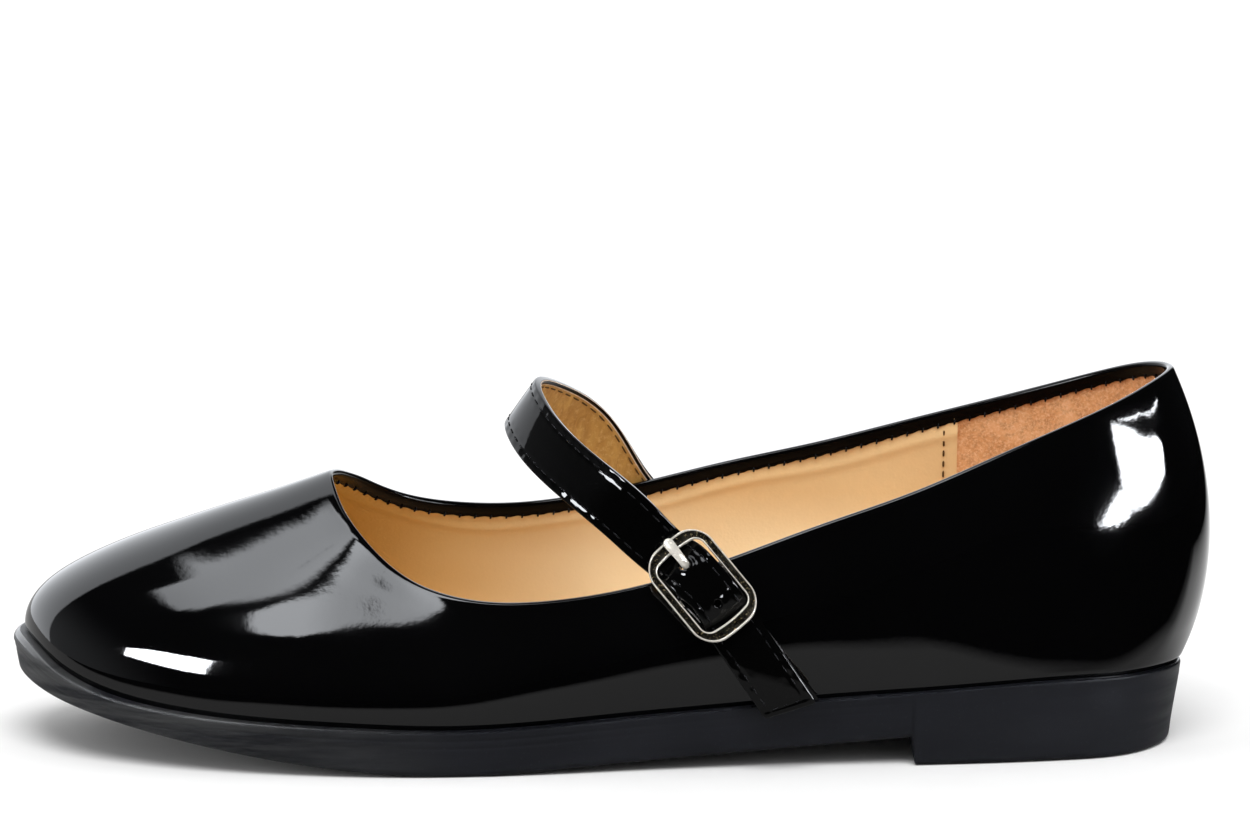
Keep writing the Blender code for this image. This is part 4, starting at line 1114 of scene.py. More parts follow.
def make_strap_stitches(course, thread, under_thread):
    """Stitches along both margins of the strap, above and below, and across its tail."""
    builder = Builder()
    near, far = course.ends(np.array([-0.7, 0.0, 0.7]))
    start, stop = near.mean() + STITCH_MARGINS[0], far.mean() - STITCH_MARGINS[1]
    first = math.floor(start / STITCH_PITCH) + 1
    for k in range(first, first + int((stop - start) / STITCH_PITCH)):
        centre = k * STITCH_PITCH
        ends = centre + np.array([-0.5, 0.5]) * STITCH_LENGTH
        curl = tail_curl(course.bar - centre)
        for side in (-1.0, 1.0):
            share = side * (1.0 - STITCH_INSET / course.half_width(ends))
            share *= 1.0 - waist(ends - course.bar) * (side < 0.0)
            for lift, below in ((STRAP_THICKNESS - 0.00008, 0), (0.0, 1)):
                if below and abs(centre - course.bar) < UNDER_CLEAR:
                    continue
                up = course.axes(centre)[2] * (1 - 2 * below)
                done = len(builder.shades)
                tips = course.place(ends, share, np.full(2, lift + curl))
                builder.stitch(*tips, up, STRAP_THREAD_RADIUS, 0.5)
                builder.shades[done:] = [below] * (len(builder.shades) - done)
    for place in TAIL_STITCHES:
        share = place + np.array([-1.0, 1.0]) * TAIL_STITCH_HALF
        ends = course.ends(share)[0] + TAIL_STITCH_INSET
        lift = STRAP_THICKNESS - 0.00012 + tail_curl(course.bar - ends[0])
        up = course.axes(ends[0])[2]
        builder.stitch(*course.place(ends, share, np.full(2, lift)), up, STRAP_THREAD_RADIUS, 0.5)
    finish(builder.make("strap_stitches", [thread, under_thread], 80.0), "strap_patent_leather")


def make_buckle_tab(last, seat, patent):
    """Short strap under the tail, folded round the centre bar."""
    half = STRAP_WIDTH / 2.0
    columns = np.linspace(-half, half, TAB_COLUMNS)

    def draped(distances):
        return np.array([seat.draped(d, w, BUCKLE_STRAP_LIFT)[0] for d, w in zip(distances, columns)])

    def above_rim(distances):
        places = draped(distances)
        return places[:, 2] - last.rim_height(places[:, 0]) - GAP

    ends = halving(above_rim, *(np.full(len(columns), end) for end in STRAP_END_RANGE))
    rows = [draped(ends + (TURN_START - ends) * share) for share in np.linspace(0.0, 1.0, TAB_ROWS)]
    turn = BAR_LIFT - BUCKLE_STRAP_LIFT + TURN_GAP
    profile = [(turn * math.cos(angle), BAR_LIFT + turn * math.sin(angle))
               for angle in np.linspace(-math.pi / 2.0, math.pi / 2.0, 17)]
    for distance, height in profile + [(d * MM, h * MM) for d, h in BUCKLE_STRAP_RETURN]:
        rows.append(seat.flat(distance, columns, height))
    middle = np.array(rows)
    normal = unit(np.cross(np.gradient(middle, axis=0), np.gradient(middle, axis=1)))
    if normal[2, TAB_COLUMNS // 2, 1] > 0.0:
        normal = -normal
    thick = BUCKLE_STRAP_THICKNESS / 2.0 * (0.45 + 0.55 * quarter_round(half - np.abs(columns), TAB_EDGE))
    offset = normal * thick[:, None]
    builder = Builder()
    builder.rod(np.concatenate([middle + offset, (middle - offset)[:, ::-1]], axis=1))
    piece = builder.make("buckle_tab", [patent], 50.0)
    notch = Builder()
    d, w = NOTCH_HALF_LENGTH * np.array([-1, 1, 1, -1]), NOTCH_HALF_WIDTH * np.array([-1, -1, 1, 1])
    notch.rod(np.array([seat.flat(d, w, BAR_LIFT + level) for level in (-NOTCH_DEPTH, NOTCH_DEPTH)]))
    join_apply(piece, [notch.make("notch", [], 30.0)], "DIFFERENCE")
    finish(piece, "strap_patent_leather", "buckle_strap")


# ---------------- Buckle ----------------


def frame_outline(half_length, half_width, corner):
    """Rounded rectangle with bowed ends. Gives the same number of places for any size."""

    def bowed(x, y):
        return x - END_BOW * (y / half_width) ** 2

    outline = []
    for quarter, (sx, sy) in enumerate(((1, 1), (-1, 1), (-1, -1), (1, -1))):
        at_end = quarter % 2
        for angle in np.linspace(0.0, math.pi / 2.0, 15)[::-1 if at_end else 1]:
            y = half_width - corner + corner * math.sin(angle)
            outline.append((sx * bowed(half_length - corner + corner * math.cos(angle), y), sy * y))
        x, y = outline[-1]
        for share in np.linspace(1.0, -1.0, 11)[1:-1]:
            outline.append((sx * bowed(half_length, y * share), y * share) if at_end else (x * share, y))
    return np.array(outline)


def make_buckle_ring(seat, nickel, painted_reflection_plating):
    outer = frame_outline(FRAME_LENGTH / 2.0, FRAME_WIDTH / 2.0, FRAME_CORNER)
    inner = frame_outline(FRAME_LENGTH / 2.0 - END_BAR, FRAME_WIDTH / 2.0 - SIDE_BAR, INNER_CORNER)
    rings = []
    for share, height in FRAME_SECTION:
        x, y = (outer * (1.0 - share) + inner * share).T
        rings.append(seat.flat(x, y, FRAME_LIFT + height * MM))
    builder = Builder()
    builder.grid(np.array(rings), wrap_rows=True, wrap_columns=True)
    # The sunk band takes the near-black plating, a painted dark reflection.
    builder.shades = np.repeat([int(ring in SUNK_FACES) for ring in range(len(rings))], len(outer))
    piece = builder.make("buckle_ring", [nickel, painted_reflection_plating], 50.0)
    reach = BAR_END + 0.0004
    rods = [rod("bar", seat, (-reach, BAR_LIFT), (reach, BAR_LIFT))]
    for name, side in (("post_front", -BAR_END), ("post_back", BAR_END)):
        rods.append(rod(name, seat, (side, BAR_LIFT), (side, FRAME_LIFT - 0.0002)))
    join_apply(piece, rods, "UNION")
    piece.data.shade_smooth()
    piece.data.set_sharp_from_angle(angle=math.radians(50.0))
    finish(piece, "nickel_plate", "buckle_frame")


def rod(name, seat, start, stop):
    """Round rod with blunt ends between two places across and off the strap, at the centre bar."""
    a, b = (seat.flat(0.0, *place) for place in (start, stop))
    along = unit(b - a)
    side = unit(np.cross(along, seat.up + seat.normal * 0.3))
    ends = along * (np.cos(np.linspace(0.0, math.pi / 2.0, 6)) * BAR_RADIUS / 2.0)[:, None]
    centres = np.concatenate([a - ends, (b + ends)[::-1]])
    radii = BAR_RADIUS * np.sin(np.linspace(0.12, math.pi / 2.0, 6))
    radii = np.concatenate([radii, radii[::-1]])
    builder = Builder()
    builder.tube(centres, side, np.cross(side, along), radii, radii, 28)
    return builder.make(name, [], 50.0)


def make_buckle_pin(seat, nickel):
    radius = BAR_RADIUS + GAP + PRONG_HALF_HEIGHT
    turn = np.linspace(*PRONG_LOOP, 13)
    loop = np.column_stack([radius * np.cos(turn), BAR_LIFT + radius * np.sin(turn)])
    course = smooth_path([*loop, *(np.array(PRONG_PATH) * MM)], 2)
    distance = np.linspace(0.0, course.knots[-1], PRONG_ROWS)
    x, z = course.at(distance).T
    places = seat.flat(x, 0.0 * x, z)
    up = unit(np.cross(np.gradient(places, axis=0), seat.across))
    tip = course.knots[-1] - distance
    blunt = np.maximum(quarter_round(tip, PRONG_TIP), math.sqrt(0.02))
    start = np.maximum(quarter_round(distance, 0.0004), math.sqrt(0.2))
    widths = PRONG_HALF_WIDTH * (0.82 + 0.18 * ease(0.006, 0.001, tip)) * blunt * start
    builder = Builder()
    builder.tube(places, seat.across, up, widths, PRONG_HALF_HEIGHT * np.sqrt(blunt) * start, 24)
    finish(builder.make("buckle_pin", [nickel], 60.0), "nickel_plate", "buckle_prong")


# ---------------- Materials ----------------


def times(colour, factor):
    return tuple(factor * part for part in colour)


class Tree:
    """Small helper that adds nodes to one node tree and links them."""

    def __init__(self, owner):
        owner.use_nodes = True
        self.tree = owner.node_tree

    def enter(self, socket, value):
        """Links a socket to a value from another node, or sets its number, vector or colour."""
        if isinstance(value, bpy.types.NodeSocket):
            self.tree.links.new(value, socket)
        else:
            socket.default_value = (*value, 1.0) if socket.type == "RGBA" else value

    def add(self, kind, inputs=None, **settings):
        node = self.tree.nodes.new(kind)
        for key, value in settings.items():
            setattr(node, key, value)
        for key, value in (inputs or {}).items():
            self.enter(node.inputs[key], value)
        return node

    def math(self, operation, one, two=0.0):
        return self.add("ShaderNodeMath", {0: one, 1: two}, operation=operation).outputs[0]

    def spread(self, value, low, high, new_low=0.0, new_high=1.0, curve="LINEAR"):
        """Maps low to new_low and high to new_high, and holds the value at both ends."""
        inputs = {"Value": value, "From Min": low, "From Max": high, "To Min": new_low, "To Max": new_high}
        return self.add("ShaderNodeMapRange", inputs, interpolation_type=curve).outputs["Result"]

    def mix(self, factor, one, two):
        return self.add("ShaderNodeMix", {0: factor, 6: one, 7: two}, data_type="RGBA").outputs[2]

    def parts(self, vector):
        return self.add("ShaderNodeSeparateXYZ", {0: vector}).outputs


class Material(Tree):
    """One material of the shoe, with noises measured in each piece's own place."""

    def __init__(self, name, colour, roughness, **sockets):
        self.material = bpy.data.materials.new(name)
        super().__init__(self.material)
        self.shader = self.tree.nodes["Principled BSDF"]
        self.enter(self.shader.inputs["Base Color"], colour)
        self.enter(self.shader.inputs["Roughness"], roughness)
        for socket, value in sockets.items():
            self.enter(self.shader.inputs[socket.replace("_", " ")], value)
        self.place = self.add("ShaderNodeTexCoord").outputs["Object"]

    def noise(self, scale, detail=3.0, roughness=0.5, distortion=0.0, stretch=None):
        place = self.place
        if stretch is not None:
            place = self.add("ShaderNodeMapping", {"Vector": place, "Scale": stretch}).outputs["Vector"]
        inputs = {"Vector": place, "Scale": scale, "Detail": detail, "Roughness": roughness,
                  "Distortion": distortion}
        return self.add("ShaderNodeTexNoise", inputs).outputs["Fac"]

    def pores(self, scale):
        inputs = {"Vector": self.place, "Scale": scale, "Randomness": 1.0}
        return self.add("ShaderNodeTexVoronoi", inputs).outputs["Distance"]

    def ramp(self, value, *stops):
        node = self.add("ShaderNodeValToRGB", {"Fac": value})
        elements = node.color_ramp.elements
        while len(elements) < len(stops):
            elements.new(0.5)
        for element, (position, colour) in zip(elements, stops):
            element.position = position
            element.color = (*colour, 1.0)
        return node.outputs["Color"]

    def flecks(self, value, low, high, amount, base, colour):
        """Mixes a colour into the base where the value is high."""
        return self.mix(self.spread(value, low, high, 0.0, amount), base, colour)

    def between(self, value, low, high):
        """Turns a noise into a roughness from low to high."""
        return self.spread(value, 0.3, 0.7, low, high)

    def done(self, colour, roughness, *layers):
        """Links the colour, the roughness and the fine relief. Each layer of relief is a height, how
        far it raises the surface in metres, and a strength."""
        self.enter(self.shader.inputs["Base Color"], colour)
        self.enter(self.shader.inputs["Roughness"], roughness)
        normal = self.shader.inputs["Normal"]
        for height, distance, strength in reversed(layers):
            inputs = {"Height": height, "Distance": distance, "Strength": strength}
            bump = self.add("ShaderNodeBump", inputs)
            self.enter(normal, bump.outputs["Normal"])
            normal = bump.inputs["Normal"]
        return self.material


def turned_material(name, tint):
    """The upper's leather where it is turned to the inside, duller than its face."""
    m = Material(name, tint, 0.14, Specular_IOR_Level=0.08)
    return m.done(
        m.ramp(m.noise(90.0), (0.3, tint), (0.7, times(tint, 2.0))),
        m.between(m.noise(240.0), 0.12, 0.22),
        (m.noise(420.0), 0.00008, 0.5),
        (m.noise(1400.0, 2.0), 0.00002, 0.4),
    )


def patent_material(name, tint, gloss):
    """Black patent leather: nearly a mirror, with faint waves, crinkles and dust."""
    m = Material(name, tint, 0.03, IOR=1.45, Specular_IOR_Level=gloss)
    return m.done(
        m.ramp(m.noise(24.0), (0.3, tint), (0.7, times(tint, 1.6))),
        m.spread(m.noise(60.0, 4.0), 0.35, 0.75, 0.028, 0.060),
        (m.noise(38.0, 2.0, 0.45), 0.00030, 0.12),
        (m.noise(310.0, 2.0), 0.00004, 0.12),
        (m.noise(900.0, 2.0), 0.000016, 0.22),
        (m.noise(2600.0, 1.0), 0.000003, 0.2),
    )


def lining_material(name):
    """Smooth tan leather; painted shade deepens it towards the toe, painted light pales it low inside."""
    tone, painted_toe_shade, painted_low_light = (0.89, 0.625, 0.315), (0.68, 0.39, 0.050), (0.9968, 0.8125, 0.5103)
    m = Material(name, (0.60, 0.40, 0.22), 0.52)
    along, _, height = m.parts(m.place)
    cloud = m.noise(30.0, 4.0, 0.55)
    mottle = m.noise(420.0, 4.0, 0.6)
    base = m.ramp(cloud, (0.28, times(tone, 0.93)), (0.55, tone), (0.8, times(tone, 1.05)))
    base = m.flecks(mottle, 0.3, 0.75, 0.22, base, times(tone, 0.8))
    # Painted light: paler colour low inside the shoe.
    base = m.flecks(height, *PAINTED_LIGHT_RANGE, 1.0, base, painted_low_light)
    # Painted shade: deeper colour towards the toe.
    base = m.mix(m.spread(along, *PAINTED_SHADE_RANGE, 1.0, 0.0), base, painted_toe_shade)
    return m.done(
        base,
        m.between(mottle, 0.46, 0.62),
        (m.pores(1500.0), 0.00005, 0.35),
        (m.noise(700.0, 4.0), 0.00006, 0.35),
        (m.noise(90.0), 0.0004, 0.25),
    )


def strap_lining_material(name):
    """Fibrous golden-brown underside of the strap leather."""
    m = Material(name, (0.47, 0.265, 0.085), 0.62)
    fibre = m.noise(420.0, 5.0, 0.7, 0.8, stretch=(1.0, 1.0, 0.28))
    base = m.ramp(m.noise(60.0, 4.0, 0.6), (0.30, (0.43, 0.225, 0.044)), (0.70, (0.60, 0.365, 0.105)))
    base = m.flecks(fibre, 0.40, 0.66, 0.65, base, (0.30, 0.135, 0.025))
    base = m.flecks(m.noise(900.0, 4.0, 0.7), 0.52, 0.74, 0.6, base, (0.76, 0.54, 0.235))
    relief = m.noise(800.0, 4.0)
    return m.done(base, m.between(fibre, 0.52, 0.72), (fibre, 0.00012, 0.5), (relief, 0.00006, 0.4))


def leather_edge_material(name):
    """Pale cut edge of the strap's lining."""
    m = Material(name, (0.62, 0.50, 0.40), 0.50)
    grain = m.noise(900.0, 4.0, 0.6)
    base = m.ramp(grain, (0.3, (0.46, 0.35, 0.26)), (0.7, (0.74, 0.62, 0.52)))
    return m.done(base, m.between(grain, 0.40, 0.60), (grain, 0.00005, 0.5))


def suede_material(name):
    """Brown suede: clouded patches, darker flecks and a paler nap."""
    sheen = {"Sheen_Weight": 0.35, "Sheen_Roughness": 0.45, "Sheen_Tint": (0.95, 0.78, 0.66)}
    m = Material(name, (0.42, 0.25, 0.17), 0.92, **sheen)
    patch = m.noise(75.0, 5.0, 0.65, 0.6)
    nap = m.noise(1900.0, 4.0, 0.7)
    dark, tone, light = (0.50, 0.225, 0.080), (0.72, 0.35, 0.140), (0.86, 0.49, 0.24)
    base = m.ramp(patch, (0.34, dark), (0.50, tone), (0.66, light))
    base = m.flecks(m.noise(620.0, 4.0, 0.75), 0.46, 0.62, 0.50, base, (0.42, 0.175, 0.060))
    base = m.flecks(nap, 0.46, 0.64, 0.75, base, (0.93, 0.62, 0.37))
    relief = m.noise(260.0, 4.0)
    return m.done(base, m.between(patch, 0.86, 0.97), (nap, 0.00010, 0.6), (relief, 0.00015, 0.35))


def sock_material(name):
    """Tan leather of the sock, mottled and open-pored."""
    m = Material(name, (0.60, 0.40, 0.22), 0.60)
    cloud = m.noise(22.0, 5.0, 0.6)
    mottle = m.noise(520.0, 4.0, 0.6)
    dark, tone, light = (0.62, 0.39, 0.20), (0.76, 0.50, 0.28), (0.82, 0.56, 0.33)
    base = m.ramp(cloud, (0.28, dark), (0.55, tone), (0.8, light))
    base = m.flecks(mottle, 0.3, 0.75, 0.4, base, (0.58, 0.35, 0.17))
    pores, grain = m.pores(1300.0), m.noise(600.0, 4.0)
    return m.done(base, m.between(mottle, 0.5, 0.68), (pores, 0.00006, 0.4), (grain, 0.00008, 0.4))


def rubber_material(name, polished):
    """Charcoal rubber with fine streaks and specks, and paler grey streaks over its toe."""
    m = Material(name, (0.006, 0.007, 0.009), 0.42, Specular_IOR_Level=0.50 if polished else 0.13)
    cloud = m.noise(45.0, 4.0, 0.6)
    streak = m.noise(160.0, 4.0, 0.6, stretch=(0.25, 0.25, 2.6))
    speck = m.noise(1400.0, 3.0, 0.6)
    pale_streaks = m.spread(m.noise(120.0, 5.0, 0.65, stretch=(0.3, 0.3, 3.2)), 0.38, 0.62, 0.12, 1.5)
    toward_toe = m.spread(m.parts(m.place)["X"], *SOLE_PALE_RANGE, 1.0, 0.0)
    base = m.ramp(cloud, (0.3, (0.0036, 0.0040, 0.0054)), (0.7, (0.0066, 0.0071, 0.0094)))
    base = m.flecks(speck, 0.62, 0.80, 0.35, base, (0.034, 0.036, 0.043))
    # Paler grey streaks over the toe, fading towards the heel.
    base = m.mix(m.math("MULTIPLY", toward_toe, pale_streaks), base, (0.038, 0.039, 0.040))
    low, high = (0.18, 0.30) if polished else (0.36, 0.58)
    return m.done(
        base,
        m.between(streak, low, high),
        (streak, 0.00010, 0.35),
        (speck, 0.00003, 0.4),
        (m.noise(70.0), 0.0003, 0.2),
    )


def nickel_material(name):
    """Pale plating of the buckle."""
    tone = (0.93, 0.885, 0.80)
    m = Material(name, tone, 0.14, Metallic=0.35)
    mottle = m.noise(900.0, 4.0, 0.7)
    wave = m.noise(350.0)
    base = m.flecks(mottle, 0.35, 0.7, 1.0, times(tone, 0.78), tone)
    return m.done(base, m.between(wave, 0.16, 0.34), (wave, 0.00004, 0.25), (mottle, 0.00001, 0.4))


def painted_reflection_nickel_material(name):
    """Dull plating of the buckle's sunk face, nearly black as a painted dark reflection, with brassy
    specks.
    """
    # Nearly black: a painted dark reflection of the room.
    tone = (0.030, 0.026, 0.019)
    m = Material(name, tone, 0.30, Metallic=0.9)
    mottle = m.noise(1500.0, 4.0, 0.7)
    wave = m.noise(350.0)
    base = m.flecks(mottle, 0.35, 0.7, 1.0, times(tone, 0.35), tone)
    base = m.flecks(m.noise(2400.0, 3.0, 0.6), 0.60, 0.68, 0.8, base, (0.62, 0.46, 0.22))
    return m.done(base, m.between(wave, 0.22, 0.42), (wave, 0.00004, 0.5), (mottle, 0.00001, 0.4))


def thread_material(name, colour):
    m = Material(name, colour, 0.6, Specular_IOR_Level=0.12)
    strand = m.noise(3200.0, 2.0, stretch=(1.0, 1.0, 0.35))
    base = m.ramp(strand, (0.3, times(colour, 0.6)), (0.7, times(colour, 1.5)))
    return m.done(base, m.between(strand, 0.50, 0.75), (strand, 0.00006, 0.7))


# ---------------- Stage: floor, light and camera ----------------

# Where painted light turns the lining pale (Z) and painted shade deepens its colour (X), and where
# the sole's paler grey fades (X).
PAINTED_LIGHT_RANGE = (0.047, 0.032)
PAINTED_SHADE_RANGE = (-0.062, -0.004)
SOLE_PALE_RANGE = (-0.116, -0.030)

# The floor. Reflections see it dark in front of an edge in Y that bends twice, dim behind that edge,
# bright in one patch on the right, and dark again past FLOOR_RIGHT.
FLOOR_REACH = 14.0
FLOOR_CELLS = 8
FLOOR_DROP = 0.0002
FLOOR_WHITE = 0.92
FLOOR_MIRRORED = 0.46
FLOOR_DARK = 0.004
FLOOR_EDGE = (-0.135, -0.105)
FLOOR_BENDS = ((0.085, 0.175, 0.0, 0.115), (0.175, 0.60, 0.0, 0.16))
FLOOR_RIGHT = (0.22, 0.36)
FLOOR_BRIGHT = (-0.076, -0.060)
FLOOR_BRIGHT_SLOPE = 0.42
FLOOR_BRIGHT_LEFT = (0.14, 0.16)

# Light. PLAIN_LIGHT is what matt surfaces see, level and from above. A lamp is its azimuth,
# elevation, breadth and power.
PLAIN_LIGHT = (0.27, 0.70)
LAMPS = {"key": (4.0, 57.0, 36.0, 2.05), "side": (-78.0, 9.0, 26.0, 0.8)}
REFLECTED_TINT = (0.955, 0.985, 1.03)
ROOM = (-0.3, 0.6, 0.004, 0.02)
WALL_LIGHT = 2.0
WALL_NEAR = (0.285, 0.315)
WALL_RIGHT = (0.26, 0.46)
SIDE_LIGHT = 0.35
SIDE_RANGE = (0.6, 1.0)

# Soft boxes that reflections see: kind, radiance, softness and the corners of one or more shapes.
# Corners of a side shape are azimuth and elevation in degrees, and those of a top shape the level
# parts of the direction. A radiance of four numbers changes along X.
SOFT_BOXES = (
    ("side", 60.0, 0.005, ((-56.5, 35.6), (-54.0, 27.0), (-48.0, 24.3), (-36.0, 22.4), (-32.6, 21.4),
                           (-33.0, 29.0), (-34.0, 36.6), (-37.0, 38.0), (-44.0, 38.6), (-51.0, 37.8))),
    ("side", 45.0, 0.008, ((40.5, 16.4), (36.0, 4.3), (37.0, 1.8), (43.8, 3.5), (66.6, 7.7), (76.0, 14.8),
                           (71.0, 16.7)),
     ((36.2, 5.5), (34.6, 4.3), (31.1, 0.2), (31.9, -1.2), (37.0, 2.0))),
    ("side", 40.0, 0.003, ((44.2, 17.3), (44.9, 17.1), (63.0, 19.6), (61.5, 20.0)),
     ((60.5, 19.9), (62.0, 19.5), (90.8, 18.7), (90.0, 19.1))),
    ("top", (-0.48, -0.20, 4.4, 7.6), 0.014,
     ((-0.392, -0.25), (-0.33, -0.10), (-0.295, 0.0), (-0.285, 0.18), (-0.392, 0.18)),
     ((-0.450, -0.11), (-0.33, -0.13), (-0.33, 0.18), (-0.42, 0.15), (-0.445, 0.05)),
     ((-0.345, 0.13), (-0.29, 0.14), (-0.21, 0.240), (-0.22, 0.258), (-0.345, 0.192))),
    ("top", (-0.22, -0.10, 9.4, 7.0), 0.010,
     ((-0.340, 0.34), (-0.328, 0.262), (-0.27, 0.260), (-0.20, 0.302), (-0.10, 0.36), (-0.085, 0.40),
      (-0.148, 0.45), (-0.22, 0.475), (-0.29, 0.455), (-0.333, 0.41))),
)

CAMERA_PLACE = (0.000125, -1.178438, 0.26897)
CAMERA_PITCH = math.radians(-9.613)
CAMERA_YAW = math.radians(0.143)
CAMERA_LENS = 164.4
SENSOR_WIDTH = 36.0


def mirrored_floor(m):
    """The floor as the shoe's reflections see it: dark in front, dim behind, and one bright patch."""

    def paper(grey):
        return m.add("ShaderNodeBsdfDiffuse", {"Color": (grey, grey, grey)}).outputs[0]

    def over(mask, below, above):
        return m.add("ShaderNodeMixShader", {0: mask, 1: below, 2: above}).outputs[0]

    x, y, _ = m.parts(m.place)
    line = y
    for bend in FLOOR_BENDS:
        line = m.math("SUBTRACT", line, m.spread(x, *bend))
    inside = m.spread(x, *FLOOR_RIGHT, 1.0, 0.0)
    behind = m.math("MULTIPLY", m.spread(line, *FLOOR_EDGE), inside)
    slant = m.math("ADD", y, m.math("MULTIPLY", x, -FLOOR_BRIGHT_SLOPE))
    patch = m.math("MULTIPLY", m.spread(slant, *FLOOR_BRIGHT), m.spread(x, *FLOOR_BRIGHT_LEFT))
    seen = over(behind, paper(FLOOR_DARK), paper(FLOOR_MIRRORED))
    return over(m.math("MULTIPLY", patch, inside), seen, paper(FLOOR_WHITE))


def make_floor():
    mesh = bpy.data.meshes.new("floor")
    line = np.linspace(-FLOOR_REACH, FLOOR_REACH, FLOOR_CELLS + 1)
    faces = grid_faces(len(line), len(line)).tolist()
    mesh.from_pydata([(x, y, -FLOOR_DROP) for y in line for x in line], [], faces)
    floor = bpy.data.objects.new("floor", mesh)
    bpy.context.scene.collection.objects.link(floor)
    white = (1.0, 1.0, 1.0)
    m = Material("floor_paper", times(white, FLOOR_WHITE), 0.9, Specular_IOR_Level=0.0)
    colour = m.ramp(m.noise(60.0, 4.0), (0.0, times(white, 0.905)), (1.0, times(white, 0.935)))
    m.enter(m.shader.inputs["Base Color"], colour)
    glossy = m.add("ShaderNodeLightPath").outputs["Is Glossy Ray"]
    both = m.add("ShaderNodeMixShader", {0: glossy, 1: m.shader.outputs[0], 2: mirrored_floor(m)})
    m.enter(m.tree.nodes["Material Output"].inputs["Surface"], both.outputs[0])
    mesh.materials.append(m.material)


class Sky(Tree):
    """The studio as light in every direction: plain white light for matt surfaces and for the camera,
    and for glossy reflections a dark room with a white wall behind the shoe and soft boxes."""

    def __init__(self):
        world = bpy.data.worlds.new("studio")
        bpy.context.scene.world = world
        world.cycles.sampling_method = "NONE"
        super().__init__(world)
        self.x, self.back, self.z = self.parts(self.add("ShaderNodeTexCoord").outputs["Generated"])
        self.near = self.math("MULTIPLY", self.back, -1.0)
        self.azimuth = self.math("ARCTAN2", self.x, self.near)
        self.elevation = self.math("ARCSINE", self.z)
        self.total = self.step(self.z, *ROOM)

    def step(self, value, low, high, new_low=0.0, new_high=1.0):
        return self.spread(value, low, high, new_low, new_high, "SMOOTHSTEP")

    def shape(self, u, v, corners, soft):
        """Soft-edged convex shape in two coordinates, its corners listed with the inside on their left."""
        mask = None
        for (u0, v0), (u1, v1) in zip(corners, corners[1:] + corners[:1]):
            reach = math.hypot(u1 - u0, v1 - v0)
            across_u, across_v = (v0 - v1) / reach, (u1 - u0) / reach
            parts = (self.math("MULTIPLY", *pair) for pair in ((u, across_u), (v, across_v)))
            inside = self.math("ADD", *parts)
            offset = u0 * across_u + v0 * across_v
            side = self.step(inside, offset - soft, offset + soft)
            mask = side if mask is None else self.math("MULTIPLY", mask, side)
        return mask

    def shine(self, mask, radiance):
        self.total = self.math("ADD", self.total, self.math("MULTIPLY", mask, radiance))

    def facing(self, corners, soft):
        """Shape in azimuth and elevation, in degrees."""
        corners = tuple(tuple(map(math.radians, corner)) for corner in corners)
        return self.shape(self.azimuth, self.elevation, corners, soft)

    def overhead(self, corners, soft):
        """Shape overhead, in the level parts of the direction."""
        mask = self.shape(self.x, self.near, corners, soft)
        return self.math("MULTIPLY", mask, self.step(self.z, 0.0, 0.1))

    def finish(self):
        """Plain light for matt surfaces, the studio for reflections and white for the camera."""
        rays = self.add("ShaderNodeLightPath").outputs
        value = self.step(self.z, 0.0, 0.5, *PLAIN_LIGHT)
        for ray, seen in (("Is Glossy Ray", self.total), ("Is Camera Ray", 1.0)):
            blend = self.add("ShaderNodeMix", {0: rays[ray], 2: value, 3: seen}, data_type="FLOAT")
            value = blend.outputs[0]
        background = self.tree.nodes["Background"]
        self.enter(background.inputs["Strength"], value)
        tint = self.mix(rays["Is Glossy Ray"], (1.0, 1.0, 1.0), REFLECTED_TINT)
        self.enter(background.inputs["Color"], tint)


def make_sky():
    sky = Sky()
    aside = sky.math("DIVIDE", sky.x, sky.math("MAXIMUM", sky.back, 0.02))
    wall = sky.math("MULTIPLY", sky.step(sky.back, *WALL_NEAR), sky.step(aside, *WALL_RIGHT, 1.0, 0.0))
    sky.shine(wall, WALL_LIGHT)
    sky.shine(sky.step(sky.math("MULTIPLY", sky.x, -1.0), *SIDE_RANGE), SIDE_LIGHT)
    for kind, radiance, soft, *shapes in SOFT_BOXES:
        make = sky.facing if kind == "side" else sky.overhead
        mask = make(shapes[0], soft)
        for shape in shapes[1:]:
            mask = sky.math("MAXIMUM", mask, make(shape, soft))
        sky.shine(mask, sky.step(sky.x, *radiance) if isinstance(radiance, tuple) else radiance)
    sky.finish()


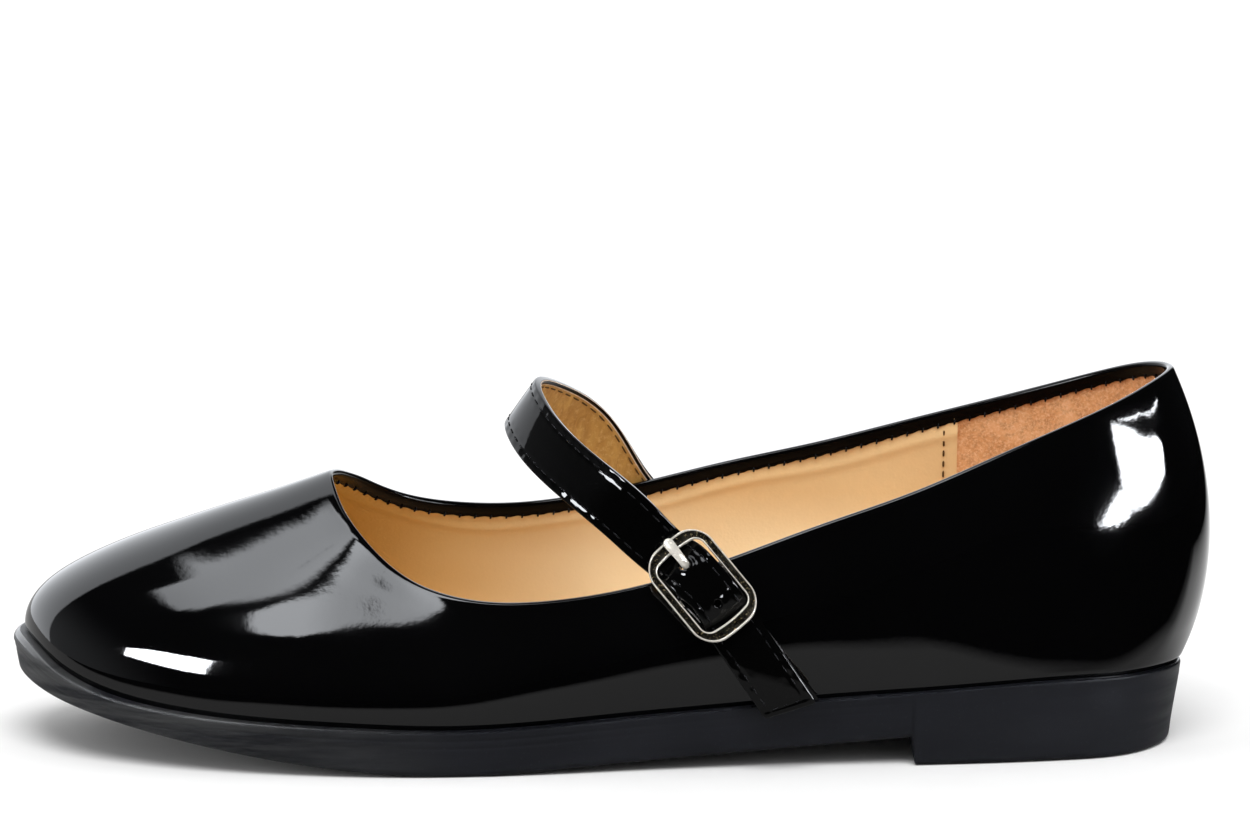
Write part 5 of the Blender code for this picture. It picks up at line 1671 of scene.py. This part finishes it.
def make_lamp(name, azimuth, elevation, breadth, power):
    """Broad even light for matt surfaces; reflections see only the sky."""
    azimuth, elevation = math.radians(azimuth), math.radians(elevation)
    level = math.cos(elevation)
    toward = Vector((math.sin(azimuth) * level, -math.cos(azimuth) * level, math.sin(elevation)))
    lamp = bpy.data.lights.new(name, "SUN")
    lamp.angle = math.radians(breadth)
    lamp.energy = power
    light = bpy.data.objects.new(name, lamp)
    light.location = toward * 3.0
    light.rotation_euler = (-toward).to_track_quat("-Z", "Y").to_euler()
    light.visible_camera = False
    light.visible_glossy = False
    bpy.context.scene.collection.objects.link(light)


def make_camera():
    lens = bpy.data.cameras.new("camera")
    lens.lens = CAMERA_LENS
    lens.sensor_width = SENSOR_WIDTH
    lens.clip_start, lens.clip_end = 0.05, 60.0
    camera = bpy.data.objects.new("camera", lens)
    camera.location = CAMERA_PLACE
    camera.rotation_euler = (math.pi / 2.0 + CAMERA_PITCH, 0.0, -CAMERA_YAW)
    bpy.context.scene.collection.objects.link(camera)
    bpy.context.scene.camera = camera


def main():
    patent = patent_material("patent", (0.0006, 0.0006, 0.0007), 0.5)
    strap_patent = patent_material("strap_patent", (0.0007, 0.0007, 0.0007), 0.22)
    turned = turned_material("turned_patent", (0.0006, 0.0006, 0.0007))
    tan = lining_material("lining_leather")
    strap_tan = strap_lining_material("strap_lining")
    raw = leather_edge_material("strap_edge")
    suede = suede_material("heel_suede")
    sock = sock_material("sock_leather")
    rubber = rubber_material("sole_rubber", False)
    rim_rubber = rubber_material("sole_rim_rubber", True)
    nickel = nickel_material("nickel")
    # Near-black plating of the sunk band: a painted dark reflection.
    painted_reflection_nickel = painted_reflection_nickel_material("nickel_painted_reflection")
    black_thread = thread_material("black_thread", (0.003, 0.003, 0.0035))
    brown_thread = thread_material("brown_thread", (0.085, 0.042, 0.014))

    last = Last()
    seat = BuckleSeat(last)
    course = StrapCourse(last, seat)
    make_upper_shell(last, patent, turned)
    make_lining(last, tan)
    make_heel_grip(last, suede)
    make_topline_stitches(last, black_thread)
    make_lining_stitches(last, brown_thread)
    make_insole_sock(last, sock)
    make_outsole_unit(last, rubber, rim_rubber)
    make_strap_band(course, strap_patent, strap_tan, raw)
    make_strap_stitches(course, black_thread, brown_thread)
    make_buckle_tab(last, seat, strap_patent)
    make_buckle_ring(seat, nickel, painted_reflection_nickel)
    make_buckle_pin(seat, nickel)

    make_floor()
    make_sky()
    for name, lamp in LAMPS.items():
        make_lamp(name, *lamp)
    make_camera()
    bpy.context.scene.view_settings.view_transform = "Standard"


main()
